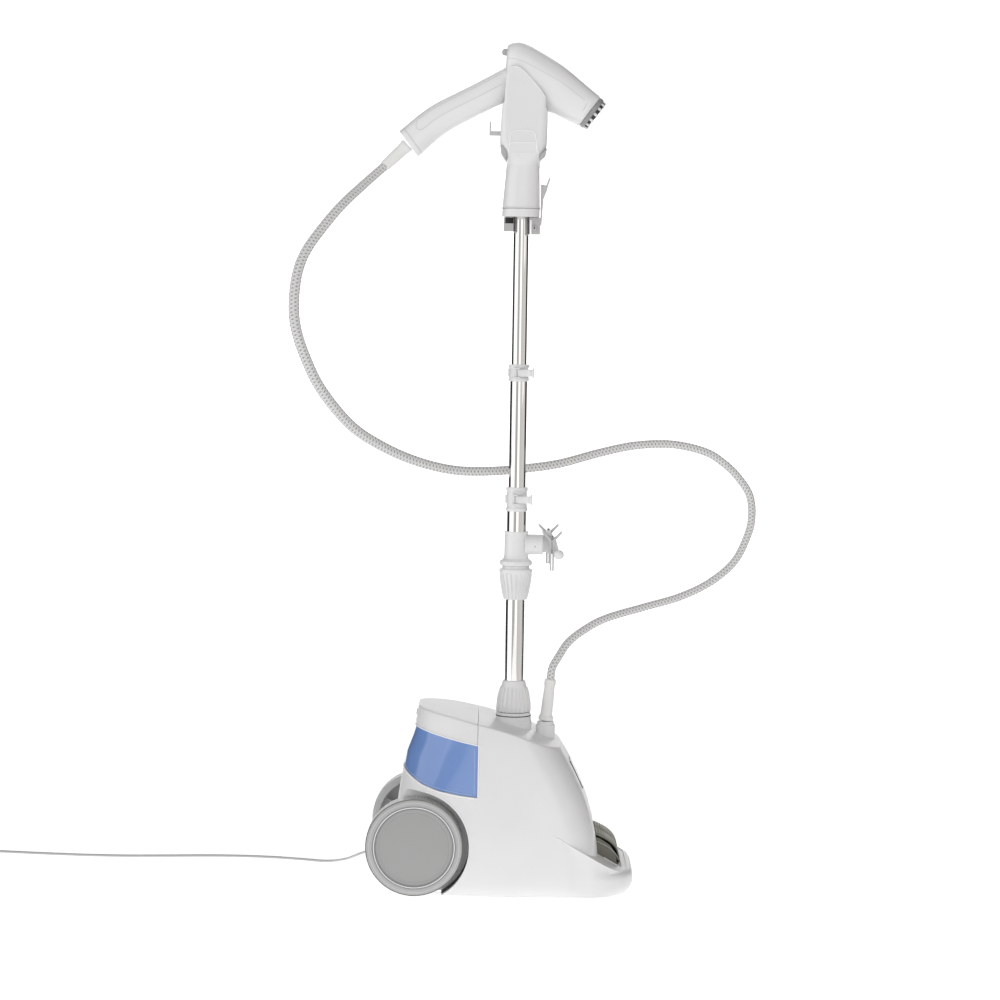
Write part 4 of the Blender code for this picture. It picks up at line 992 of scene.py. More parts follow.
def makeTrim():
    tree, lip, slope = skin["tree"], base["lip"], curveThrough(toeSlope, 1)
    floorAt = curveThrough(tankFloor, 1)
    # a lip on the housing under the tank, and beside it up both seams, in a brighter white: painted
    # highlight along the lip
    under = skinLine(tree, lambda x: floorAt(x) - lip, 68, 292, 120, out=-0.0002)
    trims = [bead("lipUnder", [point for point in under if point.x < seam["x"] + 0.0002], lip, "lipPlastic")]
    for side in (-1, 1):
        rise = [sideHit(tree, seam["x"] + lip, z, side) - Vector((0, 0.0002 * side, 0))
                for z in np.linspace(0.143, seam["capHeight"], 30)]
        trims.append(bead("lipSeam", rise, 0.0012, "lipPlastic"))
    # the edge of each wheel arch as a brighter bead: painted highlight, and dark and grey liners in the
    # front half of each well: painted shade inside the well
    for side in (-1, 1):
        ring = []
        for angle in np.linspace(math.radians(-62), math.radians(88), 90):
            x, z = onArch(wheel["arch"], angle)
            hit = sideHit(tree, x, z, side, 0.3)
            if hit and z > 0.003:
                ring.append(hit)
        trims.append(bead("archHighlight", ring, 0.0008, "lipPlastic"))
        for first, last, finish in ((-60, -8, "darkGap"), (-8, 40, "seamGrey")):
            outline = [onArch(reach, math.radians(a)) for reach,
                span in ((wheel["arch"] - 0.0001, range(first, last + 1, 2)),
                (wheel["arch"] - 0.0007, range(last, first - 1, -2))) for a in span]
            near, far = sorted((side * (base["wellWall"] + 0.0002), side * 0.114))
            trims.append(slab("wellShadeLiner", outline, near, far, finish, edge=0))
    # the toe's rim, following its slope
    rim = [Vector((x, y, slope(x))) for x, y, _ in planRing(base["toeRear"], 0.186, base["toeHalf"],
        (0.01, 0.01), (0.06, 0.075), 0, 18) if x > 0.06]
    halves = [[point for point in rim if point.y < 0], [point for point in rim if point.y > 0]]
    runs = []
    for side, corner in ((-1, halves[0][0]), (1, halves[1][-1])):
        runs.append([])
        for x in np.linspace(0.078, corner.x, 18)[:-1]:
            z = slope(x) + max(0.0, 0.088 - x) * 0.45
            toeY = base["toeHalf"] - base["toeTaper"] * (corner.x - x) / (corner.x - base["toeRear"])
            runs[-1].append(Vector((x, side * max(abs(sideHit(tree, x, z, side, 0.3).y), toeY), z)))
    trims.append(bead("toeRim", runs[0] + halves[0] + halves[1] + runs[1][::-1], 0.001))
    # rim round the pedal pocket
    near = [Vector((x, -0.055, slope(min(x, 0.176)) + 0.0002))
        for x in (*np.linspace(0.152, 0.177, 8), 0.1785)]
    far = [Vector((x, 0.055, slope(min(x, 0.176)) + 0.0002))
        for x in (0.1785, *np.linspace(0.177, 0.152, 8))]
    trims.append(bead("pocketRim", roundedLine(near + far, 0.003), 0.0008))
    place(joined("baseTrim", trims), "root", "white_plastic")
    # a dark ring of painted shade in the groove round the boss, and a white step ring above it
    rings = [lathe("grooveRing", [(0.024, 0.2466), (0.024, 0.2472), (0.0262, 0.2472), (0.0262, 0.2466)],
        onPole(), "darkGap", closed=True), lathe("stepRing",
        [(0.0212, 0.2475), (0.0212, 0.2517), (0.0252, 0.2517), (0.0256, 0.2475)], onPole(), closed=True,
        edge=0.0006)]
    place(joined("bossRings", rings), "root", "white_plastic")
    # screws under the base, and vents behind it as dark discs: painted shade in the vent openings
    spots = [(x, y, 0.0028) for x, y in ((-0.1, 0.03), (-0.1, -0.03), (0.06, 0.095), (0.06, -0.095),
        (0.15, 0.045), (0.15, -0.045))]
    place(grow("baseScrews", studs, "steel", points=spots, Radius=0.0034, Depth=0.0012), "root", "steel")
    spots = [(-0.1522 + 0.0002 * abs(row), column * 0.009, 0.075 + row * 0.008)
             for row in range(-2, 3) for column in range(-4, 5)]
    place(grow("rearVents", studs, "darkGap", points=spots, Radius=0.0022, Depth=0.0016,
               Turn=(0.0, math.pi / 2, 0.0)), "root", "black_plastic")
    print("base trim made")


def makeTank():
    tree, floorAt = skin["tree"], curveThrough(tankFloor, 1)
    for name, finish, inset, thicker, rise, slot, cad in (
            ("tankBody", "bluePlastic", 0.0005, 0.0, -0.0004, "blue_tank", "water_tank"),
            ("tankLid", "whitePlastic", 0.0003, 0.001, 0.0004, "white_plastic", "tank_cap")):
        hollow = carve(towerSkin(name + "Hollow", base["wall"] + thicker),
            keep=[bayBlock(name + "Inner", base["wall"])])
        part = carve(towerSkin(name, inset), [hollow], smooth=38,
                     keep=[bayBlock(name + "Bay", 0.0006), capBlock(name + "Side", rise, rise > 0)])
        part.data.materials.clear()
        part.data.materials.append(materials[finish])
        place(part, "tank", slot, cad)
    # a bright white bead along the lid's joint as painted highlight, and lighter blue beads along the tank's
    # foot and both front edges: painted highlight on its bevels
    joint = skinLine(tree, lambda x: capLine(x) + 0.0006, 66, 294, 110, out=-0.0002)
    foot = skinLine(tree, lambda x: floorAt(x) + 0.0035, 68, 292, 110, out=-0.0005)
    edges = [bead("tankFoot", [point for point in foot if point.x < seam["x"] - 0.002], 0.0007, "blueEdge")]
    for side in (-1, 1):
        rise = [sideHit(tree, seam["x"] - 0.0045, z, side) - Vector((0, 0.0006 * side, 0))
                for z in np.linspace(0.148, 0.212, 24)]
        edges.append(bead("tankEdge", rise, 0.0007, "blueEdge"))
    place(bead("tankJoint", joint, 0.0011, "lipPlastic"), "tank", "white_plastic")
    place(joined("tankEdges", edges), "tank", "blue_tank")
    # a dark slot in the lid: painted shade in its opening
    place(slab("capSlot", [(-0.127, 0.248), (-0.1262, 0.2525), (-0.124, 0.2525), (-0.1245, 0.248)],
               -0.016, 0.016, "darkGap", 0.0004), "tank", "black_plastic")
    print("tank made")


# ---- wheels
# thin rings on each wheel's face, by radius, half width, height and finish: a bright ring as painted
# highlight, a grey ring as painted shade in the groove, a pale ring as painted highlight on the rim, and a
# dark ring as painted shade at the outer edge
wheelLook = {"spokes": 12, "lines": ((0.0583, 0.0006, 0.0004, "lipPlastic"),
    (0.0605, 0.0007, 0.0001, "seamGrey"), (0.0652, 0.00035, 0.0, "seamLight"),
    (0.0699, 0.0004, -0.0008, "darkOlive"))}


def makeWheels():
    reach, edge, back = wheel["radius"], wheel["rim"], -wheel["width"]
    profile = [(0.0044, -0.0072), (0.057, -0.0072), (0.0595, -0.0072), (0.0598, -0.001), (edge, 0.0),
               (0.0662, -0.0002), (reach - 0.0014, -0.001), (reach, -0.0034), (reach, -0.015),
               (reach - 0.0006, -0.0156), (reach, -0.0162), (reach, back + 0.002), (reach - 0.002, back),
               (0.0605, back), (0.06, -0.011), (0.012, -0.011), (0.0112, back), (0.0044, back)]
    face = [(0, -0.0022), (0.05, -0.0022), (0.0505, -0.0026), (0.0512, -0.0026), (0.0517, -0.0022),
            (0.0555, -0.0022), (0.056, -0.003), (0.0572, -0.003), (0.0576, -0.0004), (0.0592, -0.0002),
            (0.0594, -0.004), (0, -0.004)]
    for side, name in ((-1, "right"), (1, "left")):
        stand = (Matrix.Translation((wheel["x"], side * wheel["face"], wheel["radius"]))
                 @ Matrix.Rotation(-side * math.pi / 2, 4, "X"))
        tyre = lathe(name + "WheelRim", profile, stand, "rimPlastic", 144, closed=True, edge=0.0009)
        spokes = grow(name + "Spokes", ribs, "rimPlastic", stand @ Matrix.Translation((0, 0, -0.019)),
                      Count=wheelLook["spokes"], Radius=0.036, Size=(0.05, 0.0026, 0.018))
        tread = grow(name + "Tread", ribs, "rimPlastic", stand @ Matrix.Translation((0, 0, -0.0245)),
                     Count=90, Radius=reach - 0.0004, Size=(0.0012, 0.0016, 0.012))
        place(joined(name + "WheelBody", [tyre, spokes, tread]), name + "_wheel", "wheel_grey",
            name + "_wheel")
        # the rings of painted highlight and painted shade on the wheel's face
        lines = [lathe("faceLine", [(radius - half, top - 0.001), (radius - half, top), (radius + half, top),
                                    (radius + half, top - 0.001)], stand, finish, 144, closed=True)
                 for radius, half, top, finish in wheelLook["lines"]]
        plate = lathe(name + "WheelFace", face, stand, "discPlastic", 144, edge=0.0003, edgeSteps=2)
        place(joined(name + "WheelPlate", [plate, *lines]), name + "_wheel", "disc_grey",
            name + "_wheel_cap")
    print("wheels made")


# ---- pedals
def makePedals():
    outline = [
        (0.119, 0.085), (0.138, 0.0812), (0.152, 0.0752), (0.162, 0.0692), (0.17, 0.061),
        (0.1745, 0.051), (0.1762, 0.04), (0.173, 0.036), (0.17, 0.036), (0.169, 0.05),
        (0.16, 0.063), (0.145, 0.073), (0.122, 0.079), (0.122, 0.04), (0.105, 0.026),
        (0.093, 0.026), (0.093, 0.042), (0.105, 0.046), (0.119, 0.06),
    ]
    top = smoothLine([(x, 0, z) for x, z in outline[:7]], 0.0045)
    for side, name in ((-1, "right"), (1, "left")):
        low, high = sorted((side * 0.0015, side * 0.0535))
        pieces = [slab(name + "PedalLever", [(x, z) for x, _, z in top] + outline[7:], low, high,
            "olivePlastic", edge=0.0016, smooth=40)]
        # a darker olive sheet over the outer side face: painted shade
        low, high = sorted((side * 0.0517, side * 0.0535))
        pieces.append(slab(name + "PedalSkirt", [(x, z - 0.0006) for x, _, z in top]
                           + [(0.173, 0.035), (0.15, 0.033), (0.13, 0.038), (0.119, 0.05)],
                           low, high, "darkOlive", edge=0.0005))
        # a lighter grey line along the side: painted highlight
        pieces.append(bead("pedalHighlightLine", [Vector((x, side * 0.0536, z - 0.0105)) for x, _, z in top[:-3]],
            0.0006, "greyPlastic"))
        for k in range(3, 9):
            tangent = Vector(top[k + 1]) - Vector(top[k - 1])
            out = Vector((tangent.z, 0, -tangent.x)).normalized() * -1
            spot = Vector((top[k][0], side * 0.0275, top[k][2])) + out * 0.0001
            half = Vector((0, 0.02, 0))
            pieces.append(cylinder("gripBar", spot - half, spot + half, 0.0009, "olivePlastic", edge=0.0004,
                steps=12))
        place(joined(name + "PedalTread", pieces), name + "_pedal", "olive_plastic", name + "_pedal")
    print("pedals made")


# ---- pole and its fittings
fittings = {"nutRibs": 22, "twistRibs": 20, "armZ": 0.5005}


def makePole():
    for name, radius, low, high, body in (("lower", pole["lower"], 0.135, 0.556, "root"),
                                          ("middle", pole["middle"], 0.32, 0.746, "pole_middle"),
                                          ("upper", pole["upper"], 0.52, 1.055, "pole_upper")):
        bore = radius - pole["wall"]
        tube = lathe(name + "Tube", [(bore, low), (radius, low), (radius, high), (bore, high)], onPole(),
            "chrome", closed=True, edge=0.0004, edgeSteps=2)
        place(tube, body, "chrome", "pole_" + name)
    # collar nut on the base, then the twist nut under the tee collar
    low, high = 0.2525, 0.2988
    nut = lathe("nutCone", [(0.0199, low), (0.0236, low), (0.024, low + 0.0015), (0.0246, low + 0.009),
        (0.0215, low + 0.027), (0.0196, high - 0.012), (0.0168, high - 0.0015), (0.0164, high),
        (0.0144, high), (0.0144, 0.287), (0.0199, 0.2855)], onPole(), closed=True, edge=0.0012)
    grip = grow("nutRibs", ribs, matrix=onPole(low + 0.018), Count=fittings["nutRibs"], Radius=0.0222,
                Size=(0.0048, 0.002, 0.038), Lean=-0.14)
    place(joined("collarNut", [nut, grip]), "base_nut", "white_plastic", "base_collar_nut")
    low, high = 0.4195, 0.4695
    nut = lathe("twistCone", [(0.0143, low), (0.0158, low), (0.0165, low + 0.0015), (0.021, high - 0.022),
                              (0.023, high - 0.011), (0.0243, high - 0.01), (0.0243, high - 0.005),
                              (0.02, high - 0.0045), (0.02, high), (0.0143, high)], onPole(), closed=True,
                edge=0.0009)
    grip = grow("twistRibs", ribs, matrix=onPole(low + 0.0195), Count=fittings["twistRibs"], Radius=0.0198,
                Size=(0.0046, 0.0022, 0.043), Lean=0.17)
    place(joined("twistGrip", [nut, grip]), "twist_nut", "white_plastic", "twist_nut")
    print("tubes and nuts made")


def makeClamp(name, low, high, lowerR, upperR, tubeTop, outer, body, leverBody, cad):
    step, middle, front = tubeTop + 0.0003, (low + high) / 2, -outer - 0.007
    waist = [(lowerR + 0.0003, low), (outer + 0.0004, low), (outer + 0.0004, low + 0.005),
        (outer - 0.0006, low + 0.0056), (outer - 0.0006, high - 0.0056), (outer + 0.0004, high - 0.005),
        (outer + 0.0004, high), (upperR + 0.0003, high), (upperR + 0.0003, step), (lowerR + 0.0003, step)]
    hinge = Vector((pole["x"] - 0.003, -outer - 0.0035, middle))
    parts = [lathe(name + "Sleeve", waist, onPole(), closed=True, edge=0.0007, edgeSteps=2)]
    parts += [block(name + "Lug", (pole["x"] - 0.0074, front, middle + lift),
                    (pole["x"] + 0.0014, -outer + 0.0008, middle + lift + 0.0022), edge=0.0006)
              for lift in (-0.0077, 0.0055)]
    parts.append(cylinder(name + "Pin", (hinge.x, hinge.y, middle - 0.0082),
        (hinge.x, hinge.y, middle + 0.0082), 0.0011, "steel", edge=0.0003, steps=24))
    parts.append(block(name + "Band", (pole["x"] - outer - 0.002, -0.005, middle - 0.006),
                       (pole["x"] - outer + 0.001, 0.005, middle + 0.006), edge=0.0006))
    place(joined(name, parts), body, "white_plastic", cad)
    outline = [(-0.003, 0.0032), (0.018, 0.0032), (0.0225, 0.006), (0.0255, 0.006), (0.0255, -0.013),
               (0.0225, -0.013), (0.02, -0.005), (0.015, -0.0005), (-0.003, -0.0005)]
    # slab() extrudes along Y, so the plan outline is stood up by a quarter turn
    lever = slab(name + "Lever", outline, -0.0052, 0.0052, corner=0.0012,
                 matrix=Matrix.Translation(hinge) @ Matrix.Rotation(-math.pi / 2, 4, "X"))
    tip = block(name + "LeverTip", (hinge.x + 0.0236, hinge.y + 0.0002, middle - 0.0082),
                (hinge.x + 0.0258, hinge.y + 0.0055, middle + 0.0082), edge=0.0007)
    place(joined(name + "LeverBar", [lever, tip]), leverBody, "white_plastic", cad + "_lever")


def makeCollar():
    low, high, bore = 0.4698, 0.52, pole["lower"] + 0.0003
    tee = lathe("teeBody", [(bore, low), (0.0228, low), (0.0235, low + 0.001), (0.0235, low + 0.0062),
                            (0.0215, low + 0.0078), (0.0188, low + 0.0098), (0.0174, low + 0.015),
                            (0.017, high - 0.003), (0.0176, high - 0.0024), (0.0176, high), (bore, high)],
                onPole(), steps=112, closed=True, edge=0.0008)
    arm = lathe("teeArm", [(0, 0), (0.0166, 0), (0.015, 0.006), (0.0149, 0.0262), (0.0138, 0.027),
        (0, 0.027)], along((0.029, 0, fittings["armZ"]), (1, 0, 0)), steps=72, edge=0.0009)
    carve(arm, [upright("teeBore", pole["x"], low - 0.01, high + 0.01, bore + 0.0006)])
    # grey notches round the flange and a grey dot on the arm: painted shade
    notches = grow("teeNotches", ribs, "seamGrey", onPole(low + 0.0032), Count=12, Radius=0.0236,
                   Size=(0.0008, 0.0016, 0.005))
    dot = cylinder("teeDot", (0.0445, -0.015, 0.4985), (0.0445, -0.0136, 0.4985), 0.001, "seamGrey",
        steps=24)
    dot.data.transform(Matrix.Translation((0, 0.0001, 0)))
    place(joined("teeCollar", [tee, arm, notches, dot]), "collar", "white_plastic", "tee_collar")
    print("tee collar made")


def makeHanger():
    knob = 0.4875
    parts = [slab("hangerWeb", [(0.0563, 0.521), (0.066, 0.522), (0.0755, 0.508), (0.082, 0.485),
        (0.077, 0.485), (0.0563, 0.49)], -0.0016, 0.0016, edge=0.0005, corner=0.002),
        lathe("hangerDisc", [(0, 0), (0.012, 0), (0.012, 0.0013), (0, 0.0013)],
        along((0.0563, 0, fittings["armZ"]), (1, 0, 0)), steps=48, edge=0.0004),
        cylinder("hangerPeg", (0.0795, 0, knob), (0.0795, -0.016, knob), 0.0021, steps=32),
        lathe("hangerBall", [(0.0072 * math.sin(a), -0.0072 * math.cos(a))
        for a in np.linspace(0, math.pi, 17)], Matrix.Translation((0.0795, -0.02, knob)), steps=32)]
    parts += [cylinder("clipPin", (x, start, z), (x, end, z), 0.0013, "steel", steps=20)
              for x, z, start, end in ((0.064, 0.5165, 0.0012, 0.0106), (0.0694, 0.5068, -0.0106, -0.0012))]
    place(joined("clipHanger", parts), "hanger", "white_plastic", "clip_bracket")
    teeth = [point for k in range(10) for point in ((-0.001, -0.014 - 0.003 * k),
        (-0.0003, -0.0155 - 0.003 * k))]
    jaw = [(-0.0155, 0.0125), (-0.0132, 0.0145), (-0.0016, 0.0035), (-0.0003, 0.0005), (-0.0003, -0.012),
        *teeth, (-0.0003, -0.044), (-0.0032, -0.044), (-0.0036, -0.01), (-0.0052, 0.001)]
    coils = []
    for label, x, z, near in (("rear", 0.064, 0.5165, 0.0019), ("front", 0.0694, 0.5068, -0.0101)):
        for mirror, kind, body in ((1, "fixed", "hanger"), (-1, "moving", label + "_clip")):
            # the jaw blades in grey, darker than their white plastic: painted shade
            blade = slab("jawBlade", [(x + mirror * across, z + up) for across, up in jaw], near,
                near + 0.0082, "clipPlastic", 0.0003)
            tip = cylinder("jawTip", (x - mirror * 0.014, near - 0.0006, z + 0.0134),
                           (x - mirror * 0.014, near + 0.0088, z + 0.0134), 0.0013, edge=0.0004, steps=20)
            place(joined(f"{label}{kind.title()}Jaw", [blade, tip]), body, "white_plastic",
                f"{label}_clip_{kind}_jaw")
        # each spring coil, with a dark ring at its end: painted shade in its bore
        coils += [cylinder("clipCoil", (x, near + start, z + 0.0062), (x, near + end, z + 0.0062), radius,
            finish, steps=24) for start, end, radius, finish in ((-0.0004, 0.0086, 0.0024, "steel"),
            (-0.0009, -0.0004, 0.0013, "darkGap"))]
    place(joined("clipCoils", coils), "hanger", "steel")
    print("clip hanger made")


# ---- cradle
# height, rear X, front X, half width, corner radius
cradleLevels = (
    (0.981, -0.012, 0.043, 0.0265, 0.0235), (1.0, -0.011, 0.043, 0.0265, 0.0235),
    (1.03, -0.0085, 0.0425, 0.0252, 0.0225), (1.056, -0.006, 0.042, 0.0242, 0.0215),
    (1.06, -0.007, 0.0428, 0.027, 0.02), (1.068, -0.0108, 0.047, 0.0318, 0.017),
    (1.0823, -0.0161, 0.0512, 0.0345, 0.013), (1.0944, -0.0163, 0.052, 0.035, 0.011),
    (1.1335, -0.0145, 0.0523, 0.035, 0.0085), (1.1838, -0.0105, 0.05, 0.035, 0.007),
    (1.1985, -0.0055, 0.049, 0.035, 0.007),
)
cradleTop = ((-0.02, 1.1975), (-0.0067, 1.1967), (0.0009, 1.1984), (0.0121, 1.1959), (0.0254, 1.1829),
             (0.0391, 1.1678), (0.0493, 1.1526), (0.056, 1.14))
cradleLook = {"wall": 0.0026, "voxel": 0.00105, "relax": 5, "screw": (0.0358, 0.965),
              "steps": ((1.105, 0.001, 0.0335), (1.0882, -0.001, 0.0366), (1.0717, -0.0028, 0.0388))}


def makeCradle():
    levels = [curveThrough(cradleLevels, column) for column in range(1, 5)]

    def cradleRing(z, steps):
        rear, front, half, corner = (level(z) for level in levels)
        return planRing(rear, front, half, (corner, corner), (corner, corner), z, steps)

    cup = loft("cradleCup", [cradleRing(z, 10) for z in np.linspace(0.981, 1.205, 100)])
    crest = smoothLine([(x, 0, z) for x, z in cradleTop], 0.004)
    above = slab("cradleAbove", [(x, z) for x, _, z in crest] + [(0.056, 1.09), (0.1, 1.09), (0.1, 1.25),
        (-0.1, 1.25), (-0.1, 1.1975)], -0.06, 0.06, edge=0)
    half = 0.035 - cradleLook["wall"]
    channel = slab("cradleChannel", [(-0.05, 1.14), (-0.009, 1.144), (0.0, 1.147), (0.0131, 1.15),
                                     (0.0264, 1.1444), (0.09, 1.118), (0.09, 1.25), (-0.05, 1.25)],
                   -half, half, edge=0.006)
    carve(cup, [above, channel, upright("cradleBore", pole["x"], 0.97, 1.0553, pole["upper"] + 0.0012)])
    melt(cup, cradleLook["voxel"], cradleLook["relax"])
    trims = [cup]
    # three curved steps where the neck runs up over the body, and the rim of its slanted top, as beads in a
    # brighter white: painted highlight
    for side in (-1, 1):
        for z, left, right in cradleLook["steps"]:
            rise = [(0.0045, 0.03), (0.0025, 0.014), (0.0006, 0.004), (-0.004, 0.0004)]
            line = smoothLine([(left - out, 0, z - down) for out,
                down in rise] + [((left + right) / 2, 0, z)] + [(right + out, 0, z - down)
                for out, down in rise[::-1]], 0.0012)
            trims.append(bead("neckStep", onSkin(cup, [Vector(point) for point in line], side), 0.001,
                "lipPlastic"))
        rimLine = [Vector((x, 0, z - 0.0016)) for x, _, z in crest if -0.004 < x < 0.052]
        trims.append(bead("crestRim", onSkin(cup, rimLine, side), 0.0008, "lipPlastic"))
    # a white bead round the neck, and a grey bead under it: painted shade line
    trims += [bead("neckBand", cradleRing(z, 12), radius, finish, closed=True)
              for z, radius, finish in ((0.9946, 0.0009, "whitePlastic"), (0.993, 0.0006, "seamGrey"))]
    place(joined("cradleBody", trims), "pole_upper", "white_plastic", "cradle")
    # grey grips under both lower corners
    wedges = [slab("cornerGrip", corners, -0.0335, 0.0335, "greyPlastic", 0.0008)
              for corners in (((-0.0158, 1.0847), (-0.0075, 1.077), (-0.007, 1.0611), (-0.0146, 1.0729)),
                              ((0.0525, 1.0811), (0.0415, 1.069), (0.0408, 1.0611), (0.0502, 1.0705)))]
    place(joined("cradleGrips", wedges), "pole_upper", "grey_plastic")
    # the clamp is open in front, so that the tube runs up between its two cheeks, with a recess behind and a
    # dark block in it: painted shade
    cheeks = carve(block("clampBlock", *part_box("cradle_clamp"), "greyPlastic", 0.0012), [
        block("clampGap", (-0.012, -0.014, 0.94), (pole["x"] - 0.0004, 0.014, 0.96)),
        upright("clampHole", pole["x"], 0.94, 0.99, pole["upper"] + 0.0003),
        block("clampSlot", (0.03, -0.02, 0.95), (0.0312, 0.02, 0.977)),
        block("clampWindow", (0.0052, -0.05, 0.94), (0.0278, 0.0, 0.99)),
        block("clampRecess", (-0.02, -0.05, 0.9712), (0.005, 0.002, 0.99))])
    shade = block("recessShade", (-0.0068, 0.0012, 0.9716), (0.0046, 0.0026, 0.98), "darkGap")
    place(joined("clampCheeks", [cheeks, shade]), "pole_upper", "grey_plastic", "cradle_clamp")
    x, z = cradleLook["screw"]
    screw = [lathe("screwHead", [(0, 0), (0.004, 0), (0.004, 0.0016), (0.003, 0.0026), (0, 0.0026)],
                   along((x, -0.0134, z), (0, -1, 0)), "steel", 40, edge=0.0003)]
    # the cross in the screw's head as dark bars: painted shade in its recess
    screw += [block("crossBar", (x - a, -0.0161, z - b), (x + a, -0.015, z + b), "darkGap")
              for a, b in ((0.0024, 0.0005), (0.0005, 0.0024))]
    screw.append(cylinder("screwShank", (x, -0.014, z), (x, 0.007, z), 0.0016, "steel", steps=24))
    place(joined("crossScrew", screw), "pole_upper", "steel", "cradle_screw")
    # the hook here and the lever below in grey, darker than their white plastic: painted shade
    hook = slab("hookShape", [(-0.0322, 1.106), (-0.0322, 1.0985), (-0.015, 1.0985), (-0.015, 1.105),
                              (-0.0296, 1.105), (-0.0296, 1.119), (-0.0322, 1.119)], -0.008, 0.008,
                "clipPlastic", 0.0007, 0.001)
    place(hook, "pole_upper", "white_plastic", "cradle_hook")
    lever = slab("leverShape", [(0.0444, 0.969), (0.046, 0.969), (0.0482, 1.0069), (0.0532, 1.0195),
                                (0.0545, 1.025), (0.0585, 1.038), (0.0562, 1.039), (0.052, 1.0275),
                                (0.0444, 1.029)], -0.006, 0.006, "clipPlastic", 0.0005, 0.001)
    place(lever, "cradle_lever", "white_plastic", "cradle_lever")
    print("cradle made")


# ---- handset
headSections = (
    (-0.0086, 1.227, -0.0108, 1.195, 0.009), (-0.005, 1.2315, -0.01, 1.17, 0.0225),
    (0.0089, 1.2345, -0.0001, 1.16, 0.03), (0.025, 1.2297, 0.0131, 1.1522, 0.0318),
    (0.0397, 1.222, 0.0264, 1.1466, 0.0318), (0.0588, 1.2108, 0.0484, 1.1368, 0.0312),
    (0.0765, 1.1995, 0.064, 1.1302, 0.03), (0.1031, 1.1782, 0.0822, 1.1214, 0.0275),
    (0.1294, 1.1566, 0.0982, 1.1149, 0.0258),
)
gripSections = (
    (0.03, 1.204, 0.015, 1.156, 0.02), (0.0036, 1.2027, -0.001, 1.15, 0.0205),
    (-0.0116, 1.1967, -0.013, 1.1456, 0.02), (-0.0572, 1.1721, -0.036, 1.1341, 0.019),
    (-0.118, 1.14, -0.0933, 1.1025, 0.019), (-0.1642, 1.1031, -0.1359, 1.0658, 0.02),
)
handsetLook = {"voxel": 0.001, "relax": 7, "squareness": 2.3}


def ellipse(section, sides=64, margin=0.0, power=2.0):
    topX, topZ, footX, footZ, half = section
    middle = Vector(((topX + footX) / 2, 0, (topZ + footZ) / 2))
    rise = Vector(((topX - footX) / 2, 0, (topZ - footZ) / 2))
    rise = rise * (1 + margin / rise.length)
    ring = []
    for k in range(sides):
        c, s = math.cos(2 * math.pi * k / sides), math.sin(2 * math.pi * k / sides)
        c, s = (math.copysign(abs(value) ** (2 / power), value) for value in (c, s))
        ring.append(middle + rise * c + Vector((0, (half + margin) * s, 0)))
    return ring


def sectionAt(sections, share):
    # a smooth section part way along the list
    rows = [(i, *section) for i, section in enumerate(sections)]
    return tuple(curveThrough(rows, column)(share * (len(sections) - 1)) for column in range(1, 6))


def onSide(section, share, reach):
    # the point on a section's side at a share of its height
    topX, topZ, footX, footZ, half = section
    return Vector((footX + (topX - footX) * share, half * reach, footZ + (topZ - footZ) * share))


